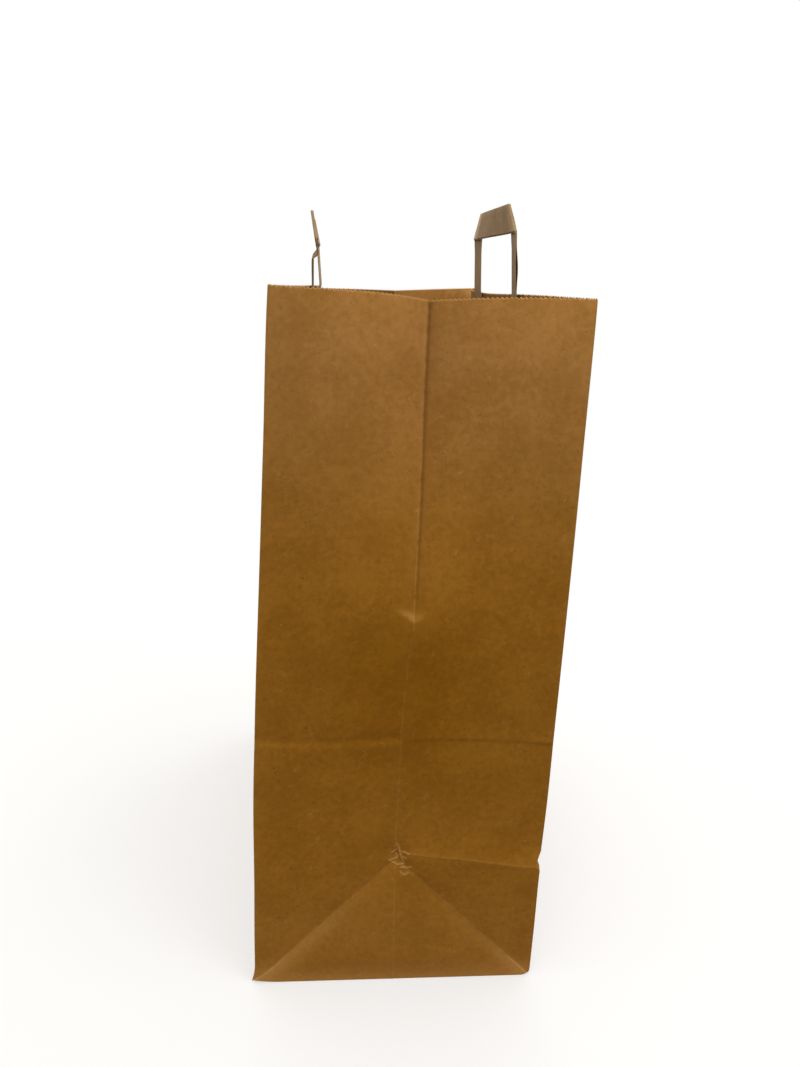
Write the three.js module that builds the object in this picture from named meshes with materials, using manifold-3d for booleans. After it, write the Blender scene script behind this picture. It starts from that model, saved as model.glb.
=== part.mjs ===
// Paper carrier bag: a block-bottom bag folded from one sheet, with two folded paper tape handles
// that are glued inside the wide walls under a paper patch. Millimetres, +Z up, the base on z = 0.
import * as THREE from "three";
import Module from "manifold-3d";

// The folded sheet
const BAG_WIDTH = 305;
const BAG_DEPTH = 180;
const BAG_HEIGHT = 430;
const PAPER = 0.2;
const FLOOR_LAYERS = 3;
const FLAP_OVERLAP = 30;
const SEAM_WIDTH = 22;
const SEAM_INSET = 14;
const SEAM_CLEAR = 4;

// How the standing bag has settled: the gussets tuck in, the wide walls bow in
const TUCK_AT_APEX = 9.5;
const TUCK_AT_IMPRINT = 21;
const TUCK_AT_RIM = 39;
const FAR_TUCK_AT_RIM = 51;
const GUSSET_CURL = 1.7;
const CREASE_RIDGE = 1.8;
const NEAR_SWAY = 5.2;
const FAR_SWAY = 0.5;
const WALL_BOW = 16.5;
const RIM_DIP = 4.3;
const BELLY = 20;
const BELLY_RISE = 71;
const BELLY_STEP = 16;
const CREASE_NIP = 2;
const CREASE_BAND = 12;

// The toothed edge a bag machine's knife leaves at the mouth
const TOOTH_PITCH = 2.5;
const TOOTH_DEPTH = 0.9;

// The handles and their patches
const TAPE_WIDTH = 17;
const TAPE_THICKNESS = 0.8;
const HANDLE_SPAN = 112;
const BACK_RISE = 35;
const FRONT_RISE = 26;
const LEG_LENGTH = 77;
const BACK_LEAN = 5;
const FRONT_LEAN = 1;
const BACK_TILT = 0;
const FRONT_TILT = -12;
const PATCH_WIDTH = 150;
const PATCH_HEIGHT = 54;
const PATCH_DROP = 6;
const PATCH_EASE = 3;
const GLUE_GAP = 0.3;
const FOLD_BITE = 0.05;

// How finely the sheet is divided
const GUSSET_STEPS = 6;
const WALL_STEPS = 12;
const UPPER_ROWS = 5;
const SAME = 0.01;

const HALF_DEPTH = BAG_DEPTH / 2;
const IMPRINT = BAG_DEPTH;
const BELLY_TOP = IMPRINT + BELLY_RISE;
const LAYER_Z = 2 * PAPER;
const RIM_BASE = BAG_HEIGHT - TOOTH_DEPTH;
const FRONT = -1;
const BACK = 1;
const NEAR = 1;
const FAR = -1;

const { Manifold, Mesh } = await (async () => {
  const module = await Module();
  module.setup();
  return module;
})();

// A value read off a line through [height, value] points
function along(s, points) {
  let value = points[0][1];
  for (let i = 1; i < points.length; i += 1) {
    const [s0, v0] = points[i - 1];
    const [s1, v1] = points[i];
    if (s >= s0) value = v0 + (v1 - v0) * Math.min(1, (s - s0) / (s1 - s0));
  }
  return value;
}

// How far up the settled part of the bag a height is, from 0 at the apex to 1 at the rim
function settled(s) {
  return Math.max(0, (s - HALF_DEPTH) / (BAG_HEIGHT - HALF_DEPTH));
}

function tuck(end, s) {
  const rim = end === NEAR ? TUCK_AT_RIM : FAR_TUCK_AT_RIM;
  return along(s, [[0, 0], [HALF_DEPTH, TUCK_AT_APEX], [IMPRINT, TUCK_AT_IMPRINT], [BAG_HEIGHT, rim]]);
}

function curl(s) {
  return 1 + (GUSSET_CURL - 1) * settled(s);
}

// The near gusset has popped outward below a kink in its centre crease
function belly(end, s) {
  if (end === FAR) return 0;
  return along(s, [
    [HALF_DEPTH, 0], [IMPRINT, 0.85 * BELLY], [BELLY_TOP, BELLY],
    [BELLY_TOP + BELLY_STEP, 0.55 * BELLY], [BAG_HEIGHT, 0],
  ]);
}

function bow(s) {
  return WALL_BOW * settled(s) ** 1.3;
}

// The back wall keeps the valley of its old fold at the height of the apex
function nip(side, s) {
  if (side === FRONT) return 0;
  return CREASE_NIP * Math.max(0, 1 - Math.abs(s - HALF_DEPTH) / CREASE_BAND);
}

function sway(end, s) {
  return (end === NEAR ? NEAR_SWAY : FAR_SWAY) * settled(s) ** 1.5;
}

// The paper keeps its length, so a gusset that tucks in and a wall that bows in get shorter
function cornerX(s) {
  return Math.sqrt((BAG_WIDTH / 2) ** 2 - (4 / 3) * bow(s) ** 2);
}

function cornerY(end, side, s) {
  const bend = curl(s);
  const half = Math.sqrt(HALF_DEPTH ** 2 - (tuck(end, s) * bend) ** 2 / (2 * bend - 1));
  return sway(end, s) + side * (half - nip(side, s));
}

// How far a gusset point lies in from the line between its corners; inward is 1 at the centre crease.
// Below the apex the fold triangle leans in on its own, between two upright panels.
function gussetRecess(end, side, inward, s) {
  const creased = end === NEAR && side === BACK && Math.abs(s - HALF_DEPTH) < SAME;
  if (creased) return TUCK_AT_APEX * inward ** CREASE_RIDGE;
  if (s <= HALF_DEPTH) return TUCK_AT_APEX * Math.min(inward, s / HALF_DEPTH);
  return tuck(end, s) * inward ** curl(s) - belly(end, s) * inward ** 2;
}

// A point of the outer face of a gusset, u from -1 at the front corner to 1 at the back corner
function gussetPoint(end, u, s) {
  const inward = 1 - Math.abs(u);
  const side = u < 0 ? FRONT : BACK;
  const x = end * (cornerX(s) - gussetRecess(end, side, inward, s));
  const y = THREE.MathUtils.lerp(sway(end, s), cornerY(end, side, s), Math.abs(u));
  return new THREE.Vector3(x, y, s - RIM_DIP * settled(s) * inward ** 1.5);
}

// The outer face of a wide wall at x
function wallY(side, x, s) {
  const u = x / cornerX(s);
  const chord = THREE.MathUtils.lerp(cornerY(FAR, side, s), cornerY(NEAR, side, s), (u + 1) / 2);
  return chord - side * bow(s) * (1 - u * u);
}

function wallPoint(side, u, s) {
  const x = u * cornerX(s);
  return new THREE.Vector3(x, wallY(side, x, s), s);
}

// The columns of the sheet in order around the bag, each a way to find its point at a height.
// The glued seam of the tube runs up the front wall, where the sheet laps over itself.
function sheetColumns() {
  const columns = [];
  const lapFrom = -1 + SEAM_INSET / (BAG_WIDTH / 2);
  const lapTo = lapFrom + SEAM_WIDTH / (BAG_WIDTH / 2);
  const edge = PAPER / (BAG_WIDTH / 2);
  const spare = SEAM_CLEAR / (BAG_WIDTH / 2);
  const front = Array.from({ length: WALL_STEPS }, (_, i) => -1 + (2 * i) / WALL_STEPS);
  const clear = front.filter((u) => Math.abs(u - lapFrom) > spare && Math.abs(u - lapTo) > spare);
  const seams = [lapFrom - edge, lapFrom + edge, lapTo - edge, lapTo + edge];
  for (const u of [...clear, ...seams].sort((a, b) => a - b)) {
    columns.push({ at: (s) => wallPoint(FRONT, u, s), lap: u > lapFrom && u < lapTo ? PAPER : 0, lean: 1 });
  }
  for (let i = 0; i < 2 * GUSSET_STEPS; i += 1) {
    const u = -1 + i / GUSSET_STEPS;
    columns.push({ at: (s) => gussetPoint(NEAR, u, s), lap: 0, lean: u < 0 ? 1 : -1 });
  }
  for (let i = 0; i < WALL_STEPS; i += 1) {
    const u = 1 - (2 * i) / WALL_STEPS;
    columns.push({ at: (s) => wallPoint(BACK, u, s), lap: 0, lean: 1 });
  }
  for (let i = 0; i < 2 * GUSSET_STEPS; i += 1) {
    const u = 1 - i / GUSSET_STEPS;
    columns.push({ at: (s) => gussetPoint(FAR, u, s), lap: 0, lean: u > 0 ? 1 : -1 });
  }
  return columns;
}

// The heights of the rows: the fold triangle, the creases, then even steps to the mouth
function sheetRows() {
  const rows = [];
  for (let i = 0; i <= GUSSET_STEPS; i += 1) rows.push((HALF_DEPTH * i) / GUSSET_STEPS);
  rows.push(HALF_DEPTH + CREASE_BAND, (HALF_DEPTH + IMPRINT) / 2 + CREASE_BAND / 2, IMPRINT);
  rows.push((IMPRINT + BELLY_TOP) / 2, BELLY_TOP, BELLY_TOP + BELLY_STEP);
  const top = RIM_BASE - 2 * TOOTH_DEPTH;
  for (let i = 1; i <= UPPER_ROWS; i += 1) {
    rows.push(THREE.MathUtils.lerp(BELLY_TOP + BELLY_STEP, top, i / UPPER_ROWS));
  }
  return rows;
}

// Outward direction at each point of the grid, mitred so that the paper keeps its thickness
function gridNormals(grid) {
  const count = grid[0].length;
  return grid.map((row, r) => row.map((point, c) => {
    const up = grid[Math.min(r + 1, grid.length - 1)][c].clone().sub(grid[Math.max(r - 1, 0)][c]);
    const ahead = row[(c + 1) % count].clone().sub(point).cross(up).normalize();
    const behind = point.clone().sub(row[(c + count - 1) % count]).cross(up).normalize();
    const mean = ahead.clone().add(behind).normalize();
    return mean.divideScalar(Math.max(0.5, mean.dot(ahead)));
  }));
}

// The toothed top edge between two neighbouring columns, as shares along and heights
function teeth(length) {
  const count = Math.max(1, Math.round(length / TOOTH_PITCH));
  const points = [];
  for (let i = 0; i < 2 * count; i += 1) points.push([i / (2 * count), i % 2 ? BAG_HEIGHT : RIM_BASE]);
  return points;
}

// One skin of the sheet as a grid of points, with the toothed edge above its last row
function skin(columns, rows, inset) {
  const bare = rows.map((s) => columns.map((column) => column.at(s)));
  const normals = gridNormals(bare);
  const grid = bare.map((row, r) => row.map((point, c) => {
    const out = inset > 0 ? -inset : columns[c].lap;
    const moved = point.clone().addScaledVector(normals[r][c], out);
    const lift = r === 0 ? (inset > 0 ? LAYER_Z + FLOOR_LAYERS * PAPER : LAYER_Z) : 0;
    return lift > 0 ? moved.setZ(lift) : moved;
  }));
  const last = rows.length - 1;
  const edge = columns.map((column, c) => {
    const next = (c + 1) % columns.length;
    const length = bare[last][c].distanceTo(bare[last][next]);
    return teeth(length).map(([share, s]) => {
      const from = grid[last][c].clone().add(column.at(s)).sub(column.at(rows[last]));
      const to = grid[last][next].clone().add(columns[next].at(s)).sub(columns[next].at(rows[last]));
      return from.lerp(to, share);
    });
  });
  return { grid, edge };
}

// A closed mesh from lists of points and triangles
class Solid {
  constructor() {
    this.points = [];
    this.faces = [];
  }

  add(point) {
    this.points.push(point);
    return this.points.length - 1;
  }

  face(a, b, c, flip) {
    this.faces.push(flip ? [a, c, b] : [a, b, c]);
  }

  manifold() {
    const mesh = new Mesh({
      numProp: 3,
      vertProperties: Float32Array.from(this.points.flatMap((p) => [p.x, p.y, p.z])),
      triVerts: Uint32Array.from(this.faces.flat()),
    });
    return new Manifold(mesh);
  }
}

// Adds one skin and its end cap to a solid; the inner skin is turned over
function addSkin(solid, columns, { grid, edge }, flip) {
  const ids = grid.map((row) => row.map((point) => solid.add(point)));
  const rim = edge.map((points) => points.map((point) => solid.add(point)));
  const count = columns.length;
  for (let r = 0; r + 1 < ids.length; r += 1) {
    for (let c = 0; c < count; c += 1) {
      const d = (c + 1) % count;
      const [a, b, e, f] = [ids[r][c], ids[r][d], ids[r + 1][d], ids[r + 1][c]];
      if (columns[c].lean > 0) {
        solid.face(a, b, e, flip);
        solid.face(a, e, f, flip);
      } else {
        solid.face(a, b, f, flip);
        solid.face(b, e, f, flip);
      }
    }
  }
  const top = ids[ids.length - 1];
  for (let c = 0; c < count; c += 1) {
    const d = (c + 1) % count;
    const line = [...rim[c], rim[d][0]];
    const half = Math.floor(line.length / 2);
    for (let i = 0; i + 1 < line.length; i += 1) {
      solid.face(i < half ? top[c] : top[d], line[i + 1], line[i], flip);
    }
    solid.face(top[c], top[d], line[half], flip);
  }
  const centre = solid.add(new THREE.Vector3(0, 0, grid[0][0].z));
  for (let c = 0; c < count; c += 1) solid.face(ids[0][(c + 1) % count], ids[0][c], centre, flip);
  return rim.flat();
}

// A three.js geometry as a solid that can be joined
function geometrySolid(geometry) {
  const solid = new Solid();
  const place = geometry.getAttribute("position");
  const known = new Map();
  const ids = [];
  for (let i = 0; i < place.count; i += 1) {
    const point = new THREE.Vector3().fromBufferAttribute(place, i);
    const key = point.toArray().map((value) => Math.round(value * 1e4)).join();
    if (!known.has(key)) known.set(key, solid.add(point));
    ids.push(known.get(key));
  }
  const index = geometry.getIndex();
  const order = index ? [...index.array].map((i) => ids[i]) : ids;
  for (let i = 0; i < order.length; i += 3) {
    const [a, b, c] = [order[i], order[i + 1], order[i + 2]];
    if (a !== b && b !== c && a !== c) solid.face(a, b, c, false);
  }
  return solid.manifold();
}

// An outline pushed out from one depth to another, then laid in place by a function
function panel(outline, from, to, place, steps = 1) {
  const shape = new THREE.Shape(outline.map(([a, b]) => new THREE.Vector2(a, b)));
  const geometry = new THREE.ExtrudeGeometry(shape, { depth: to - from, steps, bevelEnabled: false });
  const points = geometry.getAttribute("position");
  for (let i = 0; i < points.count; i += 1) {
    const spot = place(points.getX(i), points.getY(i), points.getZ(i) + from);
    points.setXYZ(i, spot.x, spot.y, spot.z);
  }
  return geometrySolid(geometry);
}

// A tape laid through stations of [left, right, height]; a station may close to a point
function ribbon(stations, from, to, place) {
  const solid = new Solid();
  const rings = stations.map(([left, right, h]) => {
    const low = [place(left, h, from), place(left, h, to)].map((point) => solid.add(point));
    const high = left === right ? low : [place(right, h, from), place(right, h, to)].map((p) => solid.add(p));
    return [low[0], high[0], high[1], low[1]];
  });
  const quad = (a, b, c, d) => {
    if (a !== b && b !== c) solid.face(a, b, c, false);
    if (a !== d && d !== c) solid.face(a, c, d, false);
  };
  rings.slice(1).forEach((ring, i) => {
    for (let k = 0; k < 4; k += 1) {
      const next = (k + 1) % 4;
      quad(rings[i][next], rings[i][k], ring[k], ring[next]);
    }
  });
  const [first, last] = [rings[0], rings[rings.length - 1]];
  quad(first[0], first[1], first[2], first[3]);
  if (last[0] !== last[1]) quad(last[3], last[2], last[1], last[0]);
  return solid.manifold();
}

// One long flap of the block bottom, folded in from a wall and glued over the end ears
function bottomFlap(side, low, high) {
  const depth = HALF_DEPTH + FLAP_OVERLAP / 2;
  const half = BAG_WIDTH / 2 - PAPER;
  const root = side * (HALF_DEPTH - PAPER);
  const free = root - side * depth;
  const outline = [[-half, root], [half, root], [half - depth, free], [depth - half, free]];
  return panel(outline, low, high, (x, y, z) => new THREE.Vector3(x, y, z));
}

function bagBody() {
  const columns = sheetColumns();
  const rows = sheetRows();
  const solid = new Solid();
  const outer = addSkin(solid, columns, skin(columns, rows, 0), false);
  const inner = addSkin(solid, columns, skin(columns, rows, PAPER), true);
  outer.forEach((a, i) => {
    const j = (i + 1) % outer.length;
    solid.face(a, outer[j], inner[j], false);
    solid.face(a, inner[j], inner[i], false);
  });
  const inside = LAYER_Z + PAPER;
  return Manifold.union([solid.manifold(), bottomFlap(BACK, PAPER, inside), bottomFlap(FRONT, 0, inside)]);
}

// How each handle has settled: its rise above the rim, its lean and the tilt of its grip
function handleStance(side) {
  const [rise, lean, tilt] = side === BACK
    ? [BACK_RISE, BACK_LEAN, BACK_TILT]
    : [FRONT_RISE, FRONT_LEAN, FRONT_TILT];
  return { rise, lean: THREE.MathUtils.degToRad(lean), tilt: THREE.MathUtils.degToRad(lean + tilt) };
}

// Where a point of a handle lies: a along the wall, h up from the rim, d in from the wall's inner face.
// Below the rim the tape follows the wall; above it the tape straightens, leans, and bends at the grip.
function handlePoint(side, a, h, d) {
  const { rise, lean, tilt } = handleStance(side);
  const s = BAG_HEIGHT + Math.min(h, 0);
  const middle = HANDLE_SPAN / 2 - TAPE_WIDTH / 2;
  const share = (a + middle) / (2 * middle);
  const straight = THREE.MathUtils.lerp(wallY(side, -middle, s), wallY(side, middle, s), share);
  const leg = THREE.MathUtils.clamp(h, 0, rise);
  const grip = Math.max(0, h - rise);
  const wall = THREE.MathUtils.lerp(wallY(side, a, s), straight, leg / rise);
  const inward = d + PAPER + GLUE_GAP + leg * Math.sin(lean) + grip * Math.sin(tilt);
  return new THREE.Vector3(a, wall - side * inward, s + leg * Math.cos(lean) + grip * Math.cos(tilt));
}

// A handle: one tape with a 45 degree fold at each end of the grip, so the grip lies over the legs
function handle(side) {
  const place = (a, h, d) => handlePoint(side, side * a, h, d);
  const { rise } = handleStance(side);
  const outerEdge = HANDLE_SPAN / 2;
  const innerEdge = outerEdge - TAPE_WIDTH;
  const top = rise + TAPE_WIDTH;
  const foot = rise - LEG_LENGTH;
  const parts = [];
  for (const hand of [-1, 1]) {
    const [left, right] = hand < 0 ? [-outerEdge, -innerEdge] : [innerEdge, outerEdge];
    const corner = hand < 0 ? right : left;
    const bands = [foot, foot / 2, 0, rise].map((h) => [left, right, h]);
    parts.push(ribbon([...bands, [corner, corner, top]], 0, TAPE_THICKNESS, place));
  }
  const grip = [[-outerEdge, rise], [outerEdge, rise], [innerEdge, top], [-innerEdge, top]];
  parts.push(panel(grip, TAPE_THICKNESS - FOLD_BITE, 2 * TAPE_THICKNESS, place));
  return Manifold.union(parts);
}

// How far a patch stands off the wall: down on the wall, and up over the two glued legs
function patchOffset(a) {
  const clear = GLUE_GAP + PATCH_EASE;
  const past = Math.abs(Math.abs(a) - (HANDLE_SPAN - TAPE_WIDTH) / 2) - TAPE_WIDTH / 2 - GLUE_GAP;
  const share = THREE.MathUtils.clamp(1 - past / clear, 0, 1);
  return share * (TAPE_THICKNESS + GLUE_GAP);
}

// A patch: a strip of paper glued to the wall over the ends of a handle
function patch(side) {
  const half = Math.max(PATCH_WIDTH / 2, HANDLE_SPAN / 2 + 4 * PATCH_EASE);
  const middle = (HANDLE_SPAN - TAPE_WIDTH) / 2;
  const steps = [-half, half];
  for (const hand of [-1, 1]) {
    for (const way of [-1, 1]) {
      const edge = TAPE_WIDTH / 2 + GLUE_GAP;
      steps.push(hand * middle + way * edge, hand * middle + way * (edge + GLUE_GAP + PATCH_EASE));
    }
  }
  const inner = middle - TAPE_WIDTH / 2 - 2 * GLUE_GAP - PATCH_EASE;
  for (let i = -2; i <= 2; i += 1) steps.push((inner * i) / 3);
  steps.sort((a, b) => a - b);
  const near = steps.map((a) => [a, patchOffset(a)]);
  const far = steps.map((a) => [a, patchOffset(a) + PAPER]).reverse();
  const low = -PATCH_DROP - PATCH_HEIGHT;
  const place = (a, d, h) => handlePoint(side, -side * a, h, d);
  return panel([...near, ...far], low, -PATCH_DROP, place, 2);
}

const KRAFT = { color: 0x96693a, roughness: 0.85, metalness: 0 };
const TAPE_KRAFT = { color: 0x7f6a52, roughness: 0.85, metalness: 0 };

function node(name, solid, look) {
  const mesh = solid.getMesh();
  const geometry = new THREE.BufferGeometry();
  geometry.setAttribute("position", new THREE.Float32BufferAttribute(mesh.vertProperties, 3));
  geometry.setIndex([...mesh.triVerts]);
  geometry.computeVertexNormals();
  const piece = new THREE.Mesh(geometry, new THREE.MeshStandardMaterial(look));
  piece.name = name;
  return piece;
}

const bag = new THREE.Group();
bag.name = "paper_carrier_bag";
bag.add(node("bag_body", bagBody(), KRAFT));
bag.add(node("handle_front", handle(FRONT), TAPE_KRAFT));
bag.add(node("handle_back", handle(BACK), TAPE_KRAFT));
bag.add(node("patch_front", patch(FRONT), KRAFT));
bag.add(node("patch_back", patch(BACK), KRAFT));

export default bag;
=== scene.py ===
"""Paper carrier bag: a block-bottom kraft bag folded from one sheet.

Two folded tape handles are glued inside the wide walls, each under a paper patch. Shapes are worked
out in millimetres on the flat sheet, and the meshes are set down in metres with the base on the floor.
"""

import logging
import math
from dataclasses import dataclass
from enum import Enum, IntEnum
from typing import Dict, List, Mapping, Optional, Sequence, Tuple, Union

import bpy
import numpy as np
from mathutils import Matrix, Vector

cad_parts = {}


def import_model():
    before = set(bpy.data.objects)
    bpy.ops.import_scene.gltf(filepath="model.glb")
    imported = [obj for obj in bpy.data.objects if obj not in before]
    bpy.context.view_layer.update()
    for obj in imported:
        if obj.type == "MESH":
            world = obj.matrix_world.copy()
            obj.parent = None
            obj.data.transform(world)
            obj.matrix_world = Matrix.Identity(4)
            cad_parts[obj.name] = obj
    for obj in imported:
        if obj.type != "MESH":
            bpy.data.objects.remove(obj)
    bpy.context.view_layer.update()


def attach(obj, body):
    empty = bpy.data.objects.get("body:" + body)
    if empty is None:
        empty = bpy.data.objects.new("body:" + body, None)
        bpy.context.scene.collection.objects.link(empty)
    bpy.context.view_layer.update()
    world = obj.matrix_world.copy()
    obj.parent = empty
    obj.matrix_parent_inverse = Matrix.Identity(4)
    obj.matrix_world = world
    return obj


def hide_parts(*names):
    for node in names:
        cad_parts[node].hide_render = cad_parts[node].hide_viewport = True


LOG = logging.getLogger("carrier_bag")
MM = 0.001
POINT_VALUES = ("fold_mm", "fold_wear", "crush", "rub", "rim_mm", "tooth", "free")
ROOT_TWO = math.sqrt(2.0)

# Farther than this from a fold, in millimetres, its wear no longer shows
NO_FOLD = 60.0

Rgb = Tuple[float, float, float]
Pair = Tuple[float, float]
Spot = Tuple[float, float, float]
Knots = Sequence[Pair]


class End(IntEnum):
    """The two narrow ends of the bag, by the direction they face along x."""

    NEAR = 1
    FAR = -1


class Side(IntEnum):
    """The two wide walls of the bag, by the direction they face along y."""

    FRONT = -1
    BACK = 1

    @property
    def label(self) -> str:
        """The wall's name, as the names of its pieces have it."""
        return self.name.lower()


class Slot(Enum):
    """Names for three material slots, which the pieces here do not use; each takes the material it is given.
    """

    SHEET = "kraft_paper"
    TAPE = "handle_tape"
    PATCH = "patch_paper"


def paint(red: int, green: int, blue: int) -> Rgb:
    """Turns a colour as seen on a screen into linear light.

    Args:
        red: Red from 0 to 255.
        green: Green from 0 to 255.
        blue: Blue from 0 to 255.

    Returns:
        The three linear values.
    """
    parts = [value / 255 for value in (red, green, blue)]
    return tuple(p / 12.92 if p <= 0.04045 else ((p + 0.055) / 1.055) ** 2.4 for p in parts)


def spans(*runs: Spot) -> np.ndarray:
    """Divides joined runs into even steps.

    Args:
        runs: Each run's start, stop and wanted step.

    Returns:
        All the marks in order, with the last stop.
    """
    marks = [np.linspace(a, b, max(1, round(abs(b - a) / step)) + 1)[:-1] for a, b, step in runs]
    return np.append(np.concatenate(marks), runs[-1][1])


def through(s: np.ndarray, knots: Knots, ease: float = 0.0) -> np.ndarray:
    """Reads a value off a line through knots, rounding its corners.

    Args:
        s: Where to read.
        knots: Pairs of place and value.
        ease: How far each corner is rounded to either side.

    Returns:
        The values at s.
    """
    places, values = zip(*knots)
    if ease == 0.0:
        return np.interp(s, places, values)
    shifts = np.linspace(-1, 1, 9)
    weights = 1.02 - np.abs(shifts)
    samples = [w * np.interp(s + ease * k, places, values) for k, w in zip(shifts, weights)]
    return sum(samples) / weights.sum()


def ramp(value: np.ndarray, low: float, high: float) -> np.ndarray:
    """Rises smoothly from 0 at low to 1 at high."""
    t = np.clip((value - low) / (high - low), 0.0, 1.0)
    return t * t * (3.0 - 2.0 * t)


def bell(apart: np.ndarray, breadth: Union[np.ndarray, float]) -> np.ndarray:
    """Falls off from 1 to both sides of the place where apart is 0."""
    return np.exp(-((apart / breadth) ** 2))


def fade(apart: np.ndarray, length: float) -> np.ndarray:
    """Falls off from 1 as apart grows, and stays at 1 where it is below 0."""
    return np.exp(-np.maximum(0.0, apart) / length)


def path_distance(v: np.ndarray, s: np.ndarray, path: Knots) -> np.ndarray:
    """Measures how far points of the flat sheet lie from a drawn line.

    Args:
        v: Places across the sheet.
        s: Heights on the sheet.
        path: The line's corners, as pairs of v and s.

    Returns:
        The distances.
    """
    nearest = np.full(np.broadcast(v, s).shape, np.inf)
    for (v0, s0), (v1, s1) in zip(path, path[1:]):
        run, rise = v1 - v0, s1 - s0
        t = np.clip(((v - v0) * run + (s - s0) * rise) / (run * run + rise * rise), 0.0, 1.0)
        nearest = np.minimum(nearest, np.hypot(v - v0 - t * run, s - s0 - t * rise))
    return nearest


class Wire:
    """A node's output that takes part in arithmetic; each step adds a Math node to its tree."""

    def __init__(self, bench: "Bench", socket: bpy.types.NodeSocket) -> None:
        """Keeps the socket and the bench that its tree is built on."""
        self.bench = bench
        self.socket = socket

    def __add__(self, other: "Value") -> "Wire":
        """Adds a value."""
        return self.bench.math("ADD", self, other)

    def __sub__(self, other: "Value") -> "Wire":
        """Takes a value away."""
        return self.bench.math("SUBTRACT", self, other)

    def __rsub__(self, other: "Value") -> "Wire":
        """Takes this away from a value."""
        return self.bench.math("SUBTRACT", other, self)

    def __mul__(self, other: "Value") -> "Wire":
        """Multiplies by a value."""
        return self.bench.math("MULTIPLY", self, other)

    def __abs__(self) -> "Wire":
        """Drops the sign."""
        return self.bench.math("ABSOLUTE", self)

    __radd__ = __add__
    __rmul__ = __mul__

    def over(self, limit: "Value") -> "Wire":
        """Gives 1 where this is above a limit and 0 elsewhere."""
        return self.bench.math("GREATER_THAN", self, limit)

    def ramp(self, low: float, high: float) -> "Wire":
        """Rises smoothly from 0 at low to 1 at high."""
        settings = {"interpolation_type": "SMOOTHSTEP"}
        limits = {"Value": self, "From Min": low, "From Max": high}
        return self.bench.add("ShaderNodeMapRange", settings, limits).out("Result")


Value = Union[Wire, float]
Colour = Union[Wire, Rgb]


class Station:
    """A node that has just been added, from which outputs are taken."""

    def __init__(self, bench: "Bench", node: bpy.types.Node) -> None:
        """Keeps the node and the bench it stands on."""
        self.bench = bench
        self.node = node

    def out(self, name: str) -> Wire:
        """Gives the output with that name or identifier."""
        return Wire(self.bench, Bench.find(self.node.outputs, name))


class Bench:
    """A node tree under construction, for a material or for geometry."""

    def __init__(self, tree: bpy.types.NodeTree) -> None:
        """Clears the tree and takes it on."""
        self.tree = tree
        self.tree.nodes.clear()

    @staticmethod
    def find(sockets: Sequence[bpy.types.NodeSocket], key: Union[str, int]) -> bpy.types.NodeSocket:
        """Finds a socket by place, identifier or name.

        Args:
            sockets: A node's inputs or outputs.
            key: What to look for.

        Returns:
            The socket.
        """
        if isinstance(key, int):
            return sockets[key]
        exact = [socket for socket in sockets if socket.identifier == key]
        return exact[0] if exact else sockets[key]

    def add(
        self,
        kind: str,
        settings: Optional[Mapping[str, object]] = None,
        sockets: Optional[Mapping[Union[str, int], object]] = None,
    ) -> Station:
        """Adds a node, sets it up, then fills its inputs.

        Args:
            kind: The node's type.
            settings: Its own settings, which come first.
            sockets: Values or wires for its inputs; a list of wires fills an input that takes several.

        Returns:
            The node, ready to take outputs from.
        """
        node = self.tree.nodes.new(kind)
        for name, setting in (settings or {}).items():
            setattr(node, name, setting)
        for key, value in (sockets or {}).items():
            socket = self.find(node.inputs, key)
            wires = value if isinstance(value, list) else [value]
            if isinstance(wires[0], Wire):
                for wire in wires:
                    self.tree.links.new(wire.socket, socket)
            else:
                socket.default_value = value
        return Station(self, node)

    def math(self, operation: str, first: Value, second: Value = 0.0) -> Wire:
        """Adds one Math node."""
        return self.add("ShaderNodeMath", {"operation": operation}, {0: first, 1: second}).out("Value")

    def noise(
        self, place: Wire, scale: float, detail: float = 2.0, rough: float = 0.5, warp: float = 0.0
    ) -> Wire:
        """Adds a noise pattern around a half.

        Args:
            place: The coordinates to read.
            scale: How many clumps there are to a metre.
            detail: How many finer layers are added.
            rough: How strong the finer layers are.
            warp: How far the pattern is stirred.

        Returns:
            The pattern's strength.
        """
        sockets = {"Vector": place, "Scale": scale, "Detail": detail, "Roughness": rough, "Distortion": warp}
        return self.add("ShaderNodeTexNoise", {}, sockets).out("Fac")

    def stretch(self, place: Wire, scale: Spot, turn: float = 0.0) -> Wire:
        """Stretches coordinates, after turning them about z by some degrees."""
        sockets = {"Vector": place, "Scale": scale, "Rotation": (0.0, 0.0, math.radians(turn))}
        return self.add("ShaderNodeMapping", {"vector_type": "TEXTURE"}, sockets).out("Vector")

    def attribute(self, name: str) -> Wire:
        """Reads a value that is kept on the mesh."""
        return self.add("ShaderNodeAttribute", {"attribute_name": name}).out("Fac")

    def blend(self, first: Colour, second: Colour, share: Value, mode: str = "MIX") -> Wire:
        """Blends two colours.

        Args:
            first: The colour that is there.
            second: The colour laid over it.
            share: How much of the second shows.
            mode: How the two combine.

        Returns:
            The blended colour.
        """
        ends = [c if isinstance(c, Wire) else (*c, 1.0) for c in (first, second)]
        settings = {"data_type": "RGBA", "blend_type": mode, "clamp_factor": True}
        sockets = {"Factor_Float": share, "A_Color": ends[0], "B_Color": ends[1]}
        return self.add("ShaderNodeMix", settings, sockets).out("Result_Color")

    def shade(self, colour: Wire, level: Wire) -> Wire:
        """Multiplies a colour by a level."""
        sockets = {0: colour, "Scale": level}
        return self.add("ShaderNodeVectorMath", {"operation": "SCALE"}, sockets).out("Vector")

    def seen(self) -> Wire:
        """Gives 1 to what the eye meets, straight or by gloss or glass, and 0 to plain light."""
        ray = self.add("ShaderNodeLightPath")
        met = self.math("MAXIMUM", ray.out("Is Camera Ray"), ray.out("Is Glossy Ray"))
        return self.math("MAXIMUM", met, ray.out("Is Transmission Ray"))


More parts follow.
